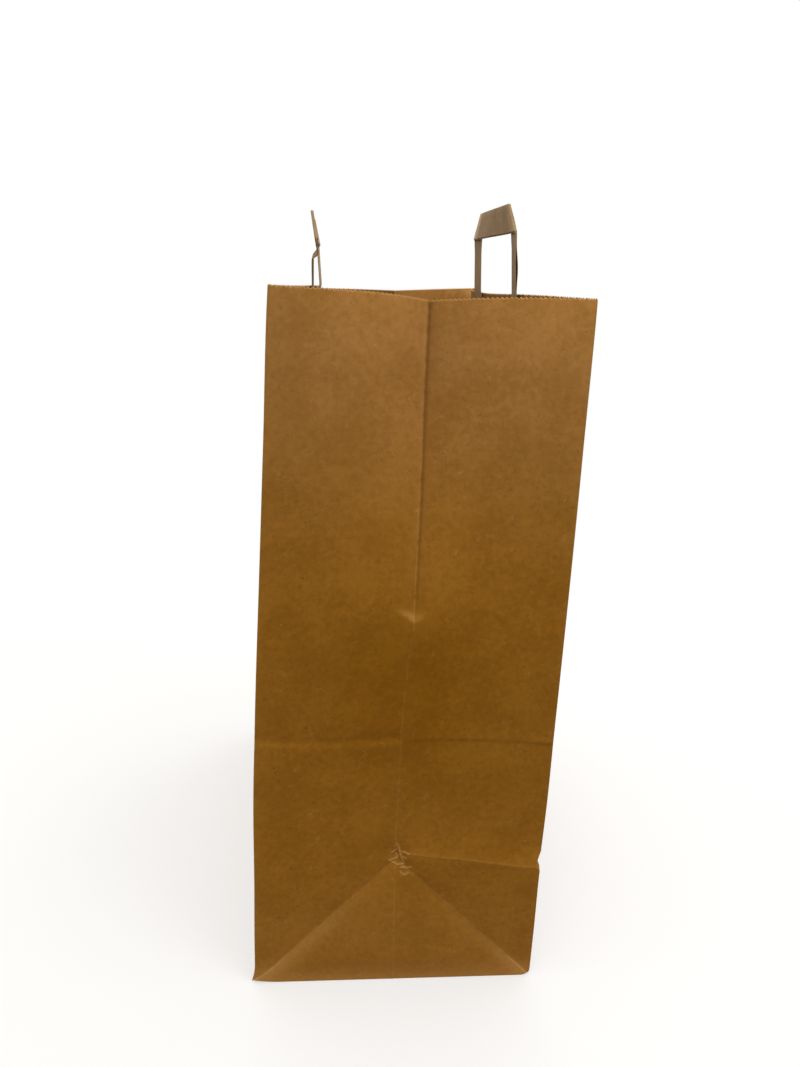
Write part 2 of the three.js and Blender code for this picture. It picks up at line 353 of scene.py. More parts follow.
def start_material(name: str) -> Tuple[bpy.types.Material, Bench]:
    """Makes an empty node material.

    Args:
        name: The material's name.

    Returns:
        The material, and a bench on its tree.
    """
    material = bpy.data.materials.new(name)
    material.use_nodes = True
    return material, Bench(material.node_tree)


@dataclass(frozen=True)
class KraftPaper:
    """Kraft paper: cloudy and flecked with fibres, and pale where its folds and cut edges have worn; some
    folds also carry painted highlight, and painted shade darkens it lower down and over the belly.
    """

    name: str
    body: Rgb
    deep: Rgb
    worn: Rgb
    bark: Rgb
    clouds: float = 0.08
    mottle: float = 0.24
    flecks: float = 0.24
    specks: float = 0.8
    roughness: float = 0.80
    gloss: float = 0.06
    tooth: float = 0.35
    tooth_height: float = 0.25
    # Painted shade: below the rim the paper is tinted darker and more saturated, standing in for light
    # falling off lower down
    low_tint: Rgb = (1.0, 0.90, 0.36)
    low_band: Pair = (10.0, 170.0)
    base_band: Pair = (330.0, 400.0)
    foot_band: Pair = (408.0, 430.0)
    # Painted shade over the near gusset's belly, darker and more saturated where the paper faces down
    rub_tint: Rgb = (0.87, 0.82, 0.40)
    pale_hairs: Spot = (120.0, 0.58, 0.20)
    dark_hairs: Spot = (95.0, 0.63, 0.30)
    cloud_scale: float = 16.0
    hue_scale: float = 38.0
    patch_scale: float = 240.0
    felt_scales: Pair = (560.0, 500.0)
    fleck_scale: float = 520.0
    group_scale: float = 55.0
    speck_scale: float = 85.0
    fray_scale: float = 640.0

    def make(self) -> bpy.types.Material:
        """Builds the node material.

        Returns:
            The material.
        """
        material, bench = start_material(self.name)
        place = bench.add("ShaderNodeUVMap", {"uv_map": "sheet"}).out("UV")
        cloud = bench.noise(place, self.cloud_scale, 3.0, 0.55)
        patch = bench.noise(place, self.patch_scale, 3.0, 0.6, 0.3)
        felt = self._felt(bench, place)
        tone = 1.0 + (cloud - 0.5) * self.clouds
        tone = tone + (patch - 0.5) * self.mottle + (felt - 0.5) * self.mottle
        hue = bench.noise(place, self.hue_scale) * 0.6 + patch * 0.4
        colour = bench.blend(self.deep, self.body, hue.ramp(0.36, 0.64))
        # Painted shade, darker and more saturated from just below the rim downwards, a little less so near
        # the base
        below_rim = bench.attribute("rim_mm")
        painted_shade = below_rim.ramp(*self.low_band) * (1.0 - below_rim.ramp(*self.base_band) * 0.25)
        colour = bench.blend(colour, self.low_tint, painted_shade, "MULTIPLY")
        # Painted shade on the belly of the near gusset, below its kink
        colour = bench.blend(colour, self.rub_tint, bench.attribute("rub"), "MULTIPLY")
        colour = bench.shade(colour, tone)
        colour = bench.blend(colour, self.bark, self._flecks(bench, place) * self.flecks)
        for hair, sizes in ((self.worn, self.pale_hairs), (self.bark, self.dark_hairs)):
            colour = bench.blend(colour, hair, self._hairs(bench, place, *sizes))
        colour = bench.blend(colour, self.worn, self._wear(bench, place, patch))
        colour = bench.blend(colour, self.bark, self._specks(bench, place) * self.specks)
        height = patch * 0.4 + felt * 0.9 + cloud * 0.4
        relief = {"Strength": self.tooth, "Distance": self.tooth_height * MM, "Height": height}
        bump = bench.add("ShaderNodeBump", {}, relief)
        surface = {
            "Base Color": colour,
            "Roughness": self.roughness + (patch - 0.5) * 0.18,
            "Specular IOR Level": self.gloss,
            "Normal": bump.out("Normal"),
        }
        shader = bench.add("ShaderNodeBsdfPrincipled", {}, surface).out("BSDF")
        bench.add("ShaderNodeOutputMaterial", {}, {"Surface": shader})
        return material

    def _felt(self, bench: Bench, place: Wire) -> Wire:
        """Lays short fibres over each other in two directions."""
        ways = (((3.2, 1.0, 1.0), 24.0), ((1.0, 3.6, 1.0), 12.0))
        first, second = (
            bench.noise(bench.stretch(place, *way), scale, 2.0, 0.6, 0.4)
            for way, scale in zip(ways, self.felt_scales)
        )
        return first * 0.5 + second * 0.5

    def _flecks(self, bench: Bench, place: Wire) -> Wire:
        """Gathers small darker flecks in loose groups."""
        group = bench.noise(place, self.group_scale).ramp(0.38, 0.62)
        return bench.noise(place, self.fleck_scale, 2.0, 0.6).ramp(0.56, 0.70) * group

    def _hairs(self, bench: Bench, place: Wire, scale: float, rare: float, share: float) -> Wire:
        """Draws thin hairs, broken into short lengths; a higher rare leaves fewer of them."""
        line = 1.0 - abs(bench.noise(place, scale, 1.0, 0.5, 1.2) - 0.5).ramp(0.0, 0.018)
        return line * bench.noise(place, 0.8 * scale, 1.0).ramp(rare, rare + 0.1) * share

    def _specks(self, bench: Bench, place: Wire) -> Wire:
        """Scatters a few dark bark specks."""
        sockets = {"Vector": place, "Scale": self.speck_scale}
        cell = bench.add("ShaderNodeTexVoronoi", {"feature": "F1"}, sockets)
        pick = bench.add("ShaderNodeSeparateColor", {}, {"Color": cell.out("Color")}).out("Red")
        return (1.0 - cell.out("Distance").ramp(0.025, 0.055)) * pick.over(0.82)

    def _wear(self, bench: Bench, place: Wire, patch: Wire) -> Wire:
        """Gives how far folds, crumples and the cut edge have worn pale, with painted highlight on the
        crease lip above the kink, the kink, the diagonals and the far corner of the mouth, and a paler foot.
        """
        frayed = bench.noise(place, self.fray_scale, 3.0, 0.7)
        apart = bench.attribute("fold_mm")
        along = bench.attribute("fold_wear")
        fold = 1.0 - (apart + (frayed - 0.5) * 0.9).ramp(0.1, 0.85)
        halo = 1.0 - apart.ramp(0.0, 8.0)
        edge = 1.0 - (bench.attribute("rim_mm") + (frayed - 0.5) * 0.5).ramp(0.15, 0.75)
        # Crumple wear, with painted highlight on the kink, the diagonals and the far corner
        crumple = bench.attribute("crush") * frayed.ramp(0.2, 0.5)
        worn = fold * along * patch.ramp(0.25, 0.6) + halo * along * 0.14
        foot = bench.attribute("rim_mm").ramp(*self.foot_band) * 0.2
        return worn + edge * 0.6 + crumple + foot


@dataclass(frozen=True)
class StudioWhite:
    """The floor: white to the eye, quiet as a reflector, and still able to take the bag's shadow."""

    name: str = "studio_white"
    close: Rgb = (0.46, 0.39, 0.29)
    away: Rgb = (0.08, 0.07, 0.05)
    fade_from: float = 0.22
    fade_to: float = 0.40
    catch: float = 0.42
    glow: float = 0.52
    clear_from: float = 0.32
    clear_to: float = 0.85

    def make(self) -> bpy.types.Material:
        """Builds the node material.

        Returns:
            The material.
        """
        material, bench = start_material(self.name)
        place = bench.add("ShaderNodeTexCoord").out("Object")
        reach = bench.add("ShaderNodeVectorMath", {"operation": "LENGTH"}, {0: place}).out("Value")
        seen = bench.seen()
        pale = bench.blend(self.close, self.away, reach.ramp(self.fade_from, self.fade_to))
        dull = bench.add("ShaderNodeBsdfDiffuse", {}, {"Color": pale}).out("BSDF")
        grey = (self.catch, self.catch, self.catch, 1.0)
        catch = bench.add("ShaderNodeBsdfDiffuse", {}, {"Color": grey}).out("BSDF")
        glow = bench.add("ShaderNodeEmission", {}, {"Strength": self.glow}).out("Emission")
        near = bench.add("ShaderNodeAddShader", {}, {0: catch, 1: glow}).out("Shader")
        clear = bench.add("ShaderNodeEmission", {}, {"Strength": 1.0}).out("Emission")
        apart = reach.ramp(self.clear_from, self.clear_to)
        white = bench.add("ShaderNodeMixShader", {}, {0: apart, 1: near, 2: clear}).out("Shader")
        surface = bench.add("ShaderNodeMixShader", {}, {0: seen, 1: dull, 2: white}).out("Shader")
        bench.add("ShaderNodeOutputMaterial", {}, {"Surface": surface})
        return material


@dataclass(frozen=True)
class SheetTree:
    """The rule that turns an open sheet into paper with ripples, a toothed edge and a thickness."""

    name: str = "paper_sheet"
    merge: float = 0.000002

    def make(self) -> bpy.types.NodeTree:
        """Builds the geometry tree.

        Returns:
            The tree, with named inputs for its sizes.
        """
        tree = bpy.data.node_groups.new(self.name, "GeometryNodeTree")
        bench = Bench(tree)
        sizes = ("Thickness", "Tooth Depth", "Ripple Height", "Ripple Scale", "Seed")
        tree.interface.new_socket("Sheet", in_out="INPUT", socket_type="NodeSocketGeometry")
        for size in sizes:
            tree.interface.new_socket(size, in_out="INPUT", socket_type="NodeSocketFloat")
        tree.interface.new_socket("Paper", in_out="INPUT", socket_type="NodeSocketMaterial")
        tree.interface.new_socket("Paper Piece", in_out="OUTPUT", socket_type="NodeSocketGeometry")
        given = bench.add("NodeGroupInput")
        rippled = self._ripple(bench, given)
        toothed = self._teeth(bench, given, rippled)
        inner = bench.add(
            "GeometryNodeExtrudeMesh",
            {"mode": "FACES"},
            {"Mesh": toothed, "Offset Scale": given.out("Thickness") * -1.0, "Individual": False},
        ).out("Mesh")
        turned = bench.add("GeometryNodeFlipFaces", {}, {"Mesh": inner}).out("Mesh")
        both = bench.add("GeometryNodeJoinGeometry", {}, {"Geometry": [toothed, turned]}).out("Geometry")
        closed = bench.add("GeometryNodeMergeByDistance", {}, {"Geometry": both, "Distance": self.merge})
        smooth = bench.add("GeometryNodeSetShadeSmooth", {}, {"Geometry": closed.out("Geometry")})
        real = bench.add("GeometryNodeRealizeInstances", {}, {"Geometry": smooth.out("Geometry")})
        dressed = {"Geometry": real.out("Geometry"), "Material": given.out("Paper")}
        paper = bench.add("GeometryNodeSetMaterial", {}, dressed).out("Geometry")
        bench.add("NodeGroupOutput", {}, {0: paper})
        return tree

    def _ripple(self, bench: Bench, given: Station) -> Wire:
        """Moves free paper a little along its normal."""
        place = bench.add("GeometryNodeInputPosition").out("Position")
        normal = bench.add("GeometryNodeInputNormal").out("Normal")
        free = bench.add("GeometryNodeInputNamedAttribute", {"data_type": "FLOAT"}, {"Name": "free"})
        seed, scale = given.out("Seed"), given.out("Ripple Scale")
        sockets = {"Vector": place, "W": seed, "Scale": scale, "Detail": 2.0}
        wave = bench.add("ShaderNodeTexNoise", {"noise_dimensions": "4D"}, sockets).out("Fac")
        level = (wave - 0.5) * 2.0 * given.out("Ripple Height") * free.out("Attribute")
        offset = bench.add("ShaderNodeVectorMath", {"operation": "SCALE"}, {0: normal, "Scale": level})
        sockets = {"Geometry": given.out("Sheet"), "Offset": offset.out("Vector")}
        return bench.add("GeometryNodeSetPosition", {}, sockets).out("Geometry")

    def _teeth(self, bench: Bench, given: Station, sheet: Wire) -> Wire:
        """Raises every second point of the cut edge."""
        tooth = bench.add("GeometryNodeInputNamedAttribute", {"data_type": "FLOAT"}, {"Name": "tooth"})
        level = tooth.out("Attribute") * given.out("Tooth Depth")
        offset = bench.add("ShaderNodeCombineXYZ", {}, {"Z": level}).out("Vector")
        sockets = {"Geometry": sheet, "Offset": offset}
        return bench.add("GeometryNodeSetPosition", {}, sockets).out("Geometry")


def stand(name: str, data: bpy.types.ID) -> bpy.types.Object:
    """Makes an object of a mesh, a lamp or a camera.

    Args:
        name: The object's name.
        data: What it shows.

    Returns:
        The object, linked to the scene.
    """
    thing = bpy.data.objects.new(name, data)
    bpy.context.scene.collection.objects.link(thing)
    return thing


@dataclass
class OpenSheet:
    """An open sheet of paper as points in millimetres, with its faces and what is kept on its points."""

    points: np.ndarray
    faces: List[Tuple[int, ...]]
    corners: List[Pair]
    kept: Dict[str, np.ndarray]

    @classmethod
    def from_grid(
        cls, points: np.ndarray, flat: np.ndarray, kept: Mapping[str, Union[np.ndarray, float]], turned: bool
    ) -> "OpenSheet":
        """Makes a sheet from a grid of points.

        Args:
            points: The grid's points.
            flat: Where each point lies on the flat sheet.
            kept: Values for the points, beyond those that are left at 0.
            turned: Whether the faces look the other way.

        Returns:
            The sheet.
        """
        rows, count = points.shape[:2]
        ring = ((1, 0), (1, 1), (0, 1), (0, 0)) if turned else ((0, 0), (0, 1), (1, 1), (1, 0))
        cells = [[(r + i, c + j) for i, j in ring] for r in range(rows - 1) for c in range(count - 1)]
        faces = [tuple(i * count + j for i, j in cell) for cell in cells]
        corners = [tuple(flat[i, j]) for cell in cells for i, j in cell]
        values = {name: kept.get(name, 0.0) for name in POINT_VALUES}
        spread = {name: np.broadcast_to(value, (rows, count)).ravel() for name, value in values.items()}
        return cls(points.reshape(-1, 3), faces, corners, spread)

    def to_object(self, name: str) -> bpy.types.Object:
        """Makes a mesh object in metres.

        Args:
            name: The object's name.

        Returns:
            The object, linked to the scene.
        """
        mesh = bpy.data.meshes.new(name)
        mesh.from_pydata((self.points * MM).tolist(), [], self.faces)
        layer = mesh.uv_layers.new(name="sheet")
        layer.data.foreach_set("uv", (np.array(self.corners) * MM).ravel().astype(np.float32))
        for key, values in self.kept.items():
            store = mesh.attributes.new(key, "FLOAT", "POINT")
            store.data.foreach_set("value", np.asarray(values, np.float32))
        return stand(name, mesh)


@dataclass(frozen=True)
class PaperSizes:
    """What the sheet tree is told of one piece, with lengths in millimetres."""

    thickness: float
    tooth_depth: float = 0.0
    ripple_height: float = 0.0
    ripple_scale: float = 1.0
    seed: float = 0.0

    def inputs(self) -> Dict[str, float]:
        """Lists the values for the tree's named inputs.

        Returns:
            The values by name, with lengths in metres.
        """
        return {
            "Thickness": self.thickness * MM,
            "Tooth Depth": self.tooth_depth * MM,
            "Ripple Height": self.ripple_height * MM,
            "Ripple Scale": self.ripple_scale,
            "Seed": self.seed,
        }


@dataclass(frozen=True)
class PaperMaker:
    """Turns open sheets into paper pieces through the sheet tree."""

    tree: bpy.types.NodeTree
    fold_angle: float = 58.0

    def make(
        self, sheet: OpenSheet, name: str, paper: bpy.types.Material, sizes: PaperSizes
    ) -> bpy.types.Object:
        """Runs the tree over a sheet and keeps the result as a plain mesh.

        Args:
            sheet: The open sheet.
            name: The piece's name.
            paper: Its finish.
            sizes: Its thickness, teeth and ripples.

        Returns:
            The finished piece.
        """
        piece = sheet.to_object(name)
        modifier = piece.modifiers.new("paper", "NODES")
        modifier.node_group = self.tree
        sockets = {item.name: item.identifier for item in self.tree.interface.items_tree}
        for label, value in {**sizes.inputs(), "Paper": paper}.items():
            modifier[sockets[label]] = value
        bpy.context.view_layer.update()
        evaluated = piece.evaluated_get(bpy.context.evaluated_depsgraph_get())
        mesh = bpy.data.meshes.new_from_object(evaluated)
        piece.modifiers.clear()
        raw = piece.data
        piece.data = mesh
        bpy.data.meshes.remove(raw)
        mesh.name = name
        mesh.set_sharp_from_angle(angle=math.radians(self.fold_angle))
        return piece


def hand_over(piece: bpy.types.Object, node: str) -> None:
    """Lets a piece stand for a CAD node.

    Args:
        piece: The finished piece.
        node: The node it stands for.
    """
    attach(piece, "root")
    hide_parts(node)
    LOG.info("%s stands for %s, with %d faces", piece.name, node, len(piece.data.polygons))


@dataclass(frozen=True)
class Hollow:
    """A soft hollow across a panel: how deep it is, at what height, and how far it spreads."""

    depth: float
    level: float
    spread: float

    def at(self, s: np.ndarray) -> np.ndarray:
        """How deep the hollow is at a height."""
        return self.depth * bell(s - self.level, self.spread)


@dataclass(frozen=True)
class SheetRules:
    """Sizes of the folded sheet, and the rules of how the standing bag has settled, in millimetres."""

    width: float = 305.0
    depth: float = 180.0
    height: float = 430.0
    paper: float = 0.2
    tooth_depth: float = 0.9
    tooth_pitch: float = 2.5
    near_tuck: Knots = ((0, 0), (90, 9.5), (180, 21), (430, 39))
    far_tuck: Knots = ((0, 0), (90, 9.5), (180, 21), (430, 51))
    belly_line: Knots = (
        (90, 0), (135, 6.6), (180, 13.4), (215, 17.3), (252, 21),
        (262, 21), (290, 17.9), (340, 10.5), (385, 4), (430, 0),
    )
    belly_start: Pair = (90, 104)
    belly_ease: float = 9.0
    crease_line: Knots = (
        (0, 0), (72, -1), (115, -1.2), (187, -1.4), (234, 0), (256, 1.8), (340, 2), (430, 1.2),
    )
    crease_ease: float = 12.0
    gusset_curl: float = 1.7
    near_sway: float = 5.2
    far_sway: float = 0.5
    sway_growth: float = 1.5
    wall_bow: float = 14.4
    bow_growth: float = 1.3
    back_skew: float = 0.3
    waist: Hollow = Hollow(0.8, 290.0, 80.0)
    hip: Hollow = Hollow(0.7, 85.0, 40.0)
    front_flare: float = 1.1
    back_flare: float = 0.5
    flare_from: float = 350.0
    far_flare: float = 2.2
    far_flare_from: float = 408.0
    far_lift: float = 0.7
    corner_lift: float = 0.8
    lift_from: float = 370.0
    corner_sag: float = 4.4
    back_sag: float = 1.6
    back_sag_place: Pair = (-0.2, 0.5)
    sag_from: float = 300.0
    near_dip: float = 4.6
    near_dip_curl: Pair = (3.4, 2.2)
    far_dip: float = 3.0
    far_dip_curl: float = 1.2
    nip: float = 3.0
    nip_band: float = 9.0
    nip_level: float = 92.0
    nip_skew: float = 3.0
    nip_hollow: Hollow = Hollow(1.0, 88.0, 38.0)

    @property
    def half(self) -> float:
        """Half the depth, which is also the height of the fold triangle."""
        return self.depth / 2

    @property
    def rim_base(self) -> float:
        """The height of the notches between the teeth."""
        return self.height - self.tooth_depth

    def settled(self, s: np.ndarray) -> np.ndarray:
        """How far up the settled part a height is, from 0 at the apex to 1 at the rim."""
        return np.maximum(0.0, (s - self.half) / (self.height - self.half))

    def tuck(self, end: End, s: np.ndarray) -> np.ndarray:
        """How far the centre crease of a gusset is tucked in."""
        return through(s, self.near_tuck if end is End.NEAR else self.far_tuck)

    def curl(self, s: np.ndarray) -> np.ndarray:
        """How sharply a gusset turns in towards its crease."""
        return 1.0 + (self.gusset_curl - 1.0) * self.settled(s)

    def belly(self, end: End, s: np.ndarray) -> np.ndarray:
        """How far the near gusset has popped out below its kink."""
        if end is End.FAR:
            return 0.0 * s
        return through(s, self.belly_line, self.belly_ease) * ramp(s, *self.belly_start)

    def bow(self, s: np.ndarray) -> np.ndarray:
        """How far the middle of a wide wall bows in."""
        return self.wall_bow * self.settled(s) ** self.bow_growth

    def pinch(self, side: Side, s: np.ndarray) -> np.ndarray:
        """The valley that an old fold leaves across the back wall."""
        if side is Side.FRONT:
            return 0.0 * s
        over = s - self.nip_level
        steep = np.where(over > 0.0, over, -self.nip_skew * over) / self.nip_band
        return self.nip * np.maximum(0.0, 1.0 - steep) + self.nip_hollow.at(s)

    def sway(self, end: End, s: np.ndarray) -> np.ndarray:
        """How far an end has swung sideways."""
        swing = self.near_sway if end is End.NEAR else self.far_sway
        return swing * self.settled(s) ** self.sway_growth

    def corner_x(self, s: np.ndarray) -> np.ndarray:
        """Where the corner folds lie along x."""
        return np.sqrt((self.width / 2) ** 2 - (4 / 3) * self.bow(s) ** 2)

    def corner_y(self, end: End, side: Side, s: np.ndarray) -> np.ndarray:
        """Where a corner fold lies along y."""
        bend = self.curl(s)
        drawn_in = (self.tuck(end, s) * bend) ** 2 / (2 * bend - 1)
        reach = np.sqrt(self.half**2 - drawn_in) - self.pinch(side, s)
        if end is End.NEAR and side is Side.FRONT:
            drawn = self.waist.at(s) + self.hip.at(s)
            reach = reach - drawn + self.front_flare * self.rising(s, self.flare_from)
        elif end is End.NEAR:
            reach = reach + self.back_flare * self.rising(s, self.flare_from)
        elif side is Side.BACK:
            reach = reach + self.flared(s)
        return self.sway(end, s) + side * reach

    def rising(self, s: np.ndarray, start: float) -> np.ndarray:
        """Rises smoothly from 0 at a height to 1 at the rim."""
        return ramp(s, start, self.height)

    def flared(self, s: np.ndarray) -> np.ndarray:
        """How far the far back corner of the mouth has turned out."""
        return self.far_flare * self.rising(s, self.far_flare_from)

    def perked(self, s: np.ndarray) -> np.ndarray:
        """How far the far back corner of the mouth stands up."""
        return self.far_lift * self.rising(s, self.lift_from)

    def lifted(self, s: np.ndarray) -> np.ndarray:
        """How far the near front corner of the mouth stands up."""
        return self.corner_lift * self.rising(s, self.lift_from)

    def sagged(self, s: np.ndarray) -> np.ndarray:
        """How far the far front corner of the mouth has sunk."""
        return self.corner_sag * self.rising(s, self.sag_from)

    def dip(self, end: End, u: np.ndarray, s: np.ndarray) -> np.ndarray:
        """How far the folded-in gusset has drawn its cut edge down."""
        inward = 1.0 - np.abs(u)
        if end is End.FAR:
            drawn = self.far_dip * self.settled(s) * inward**self.far_dip_curl
            drop = drawn + self.sagged(s) * np.maximum(0.0, -u)
            return drop - self.perked(s) * np.maximum(0.0, u) ** 2
        drop = self.near_dip * self.settled(s) * inward ** np.where(u < 0, *self.near_dip_curl)
        return drop - self.lifted(s) * np.maximum(0.0, -u) ** 3

    def recess(self, end: End, inward: np.ndarray, s: np.ndarray) -> np.ndarray:
        """How far a gusset point lies in from the line between its corners.

        Args:
            end: Which gusset.
            inward: 0 at a corner and 1 at the centre crease.
            s: The height on the sheet.

        Returns:
            The recess.
        """
        apex = through(np.array(self.half), self.near_tuck)
        low = apex * np.minimum(inward, s / self.half)
        high = self.tuck(end, s) * inward ** self.curl(s) - self.belly(end, s) * inward**2
        return np.where(s <= self.half, low, high)

    def gusset(self, end: End, u: np.ndarray, s: np.ndarray) -> np.ndarray:
        """Finds points of a gusset's outer face.

        Args:
            end: Which gusset.
            u: From -1 at the front corner to 1 at the back corner.
            s: Heights on the sheet.

        Returns:
            The points, in an array whose last axis is x, y and z.
        """
        inward = 1.0 - np.abs(u)
        front = self.corner_y(end, Side.FRONT, s)
        back = self.corner_y(end, Side.BACK, s)
        sway = self.sway(end, s)
        wander = through(s, self.crease_line, self.crease_ease) * inward if end is End.NEAR else 0.0
        x = end * (self.corner_x(s) - self.recess(end, inward, s))
        y = sway + wander + np.abs(u) * (np.where(u < 0, front, back) - sway)
        z = s - self.dip(end, u, s)
        return np.stack(np.broadcast_arrays(x, y, z), axis=-1)

    def wall_y(self, side: Side, x: np.ndarray, s: np.ndarray) -> np.ndarray:
        """Finds where a wide wall's outer face lies at x."""
        u = x / self.corner_x(s)
        far = self.corner_y(End.FAR, side, s)
        near = self.corner_y(End.NEAR, side, s)
        bowed = self.bow(s) * (1.0 - np.abs(u) ** 3)
        if side is Side.BACK:
            share = (1.0 - u) / 2.0
            bowed = bowed * (1.0 - self.back_skew * u) + self.flared(s) * (share - share**6)
        return far + (near - far) * (u + 1.0) / 2.0 - side * bowed

    def wall(self, side: Side, u: np.ndarray, s: np.ndarray) -> np.ndarray:
        """Finds points of a wide wall's outer face, u from -1 at the far corner to 1 at the near one."""
        x = u * self.corner_x(s)
        near, far = (1.0 + u) / 2.0, (1.0 - u) / 2.0
        if side is Side.FRONT:
            raised = self.lifted(s) * near**6 - self.sagged(s) * far**3
        else:
            place, spread = self.back_sag_place
            sunk = self.back_sag * (1.0 - u**4) * bell(u - place, spread)
            raised = self.perked(s) * far**6 - sunk * self.rising(s, self.sag_from)
        return np.stack(np.broadcast_arrays(x, self.wall_y(side, x, s), s + raised + 0.0 * x), axis=-1)


@dataclass(frozen=True)
class Crumple:
    """The small creases where the gusset's folds meet, as lines across the flat gusset in millimetres."""

    height: float = 0.6
    breadth: float = 0.6
    shift: float = 1.1
    ridges: Tuple[Knots, ...] = (
        ((-1.5, 101.0), (0.0, 98.8), (0.5, 96.0), (1.5, 93.8), (1.2, 92.8), (2.3, 89.8), (3.3, 87.2)),
        ((-4.2, 94.5), (-3.2, 95.2), (-1.7, 96.2)),
        ((-6.0, 88.2), (-3.5, 89.2), (-2.0, 89.5), (-0.2, 90.5), (-1.2, 93.0)),
        ((-4.0, 87.0), (-2.2, 86.8), (-0.7, 85.8), (1.2, 86.0), (3.5, 86.0)),
        ((1.7, 84.0), (3.8, 83.8), (6.0, 83.0), (6.7, 84.0), (8.3, 84.0)),
        ((1.5, 81.0), (2.5, 79.8), (4.0, 79.0), (5.5, 79.5), (6.5, 80.0)),
        ((2.8, 95.5), (4.0, 95.8), (5.3, 95.0), (7.0, 94.8)),
        ((3.0, 91.8), (4.5, 91.0)),
    )
    groove: Knots = ((-2.0, 95.2), (-0.2, 92.0), (1.7, 89.2), (3.0, 87.2))

    def worn(self, v: np.ndarray, s: np.ndarray) -> np.ndarray:
        """How strongly each point lies on a ridge, from 0 to 1."""
        across = v - self.shift
        return np.max([bell(path_distance(across, s, ridge), self.breadth) for ridge in self.ridges], axis=0)

    def relief(self, v: np.ndarray, s: np.ndarray) -> np.ndarray:
        """How far each point stands out."""
        cut = bell(path_distance(v - self.shift, s, self.groove), self.breadth)
        return self.height * (self.worn(v, s) - cut)


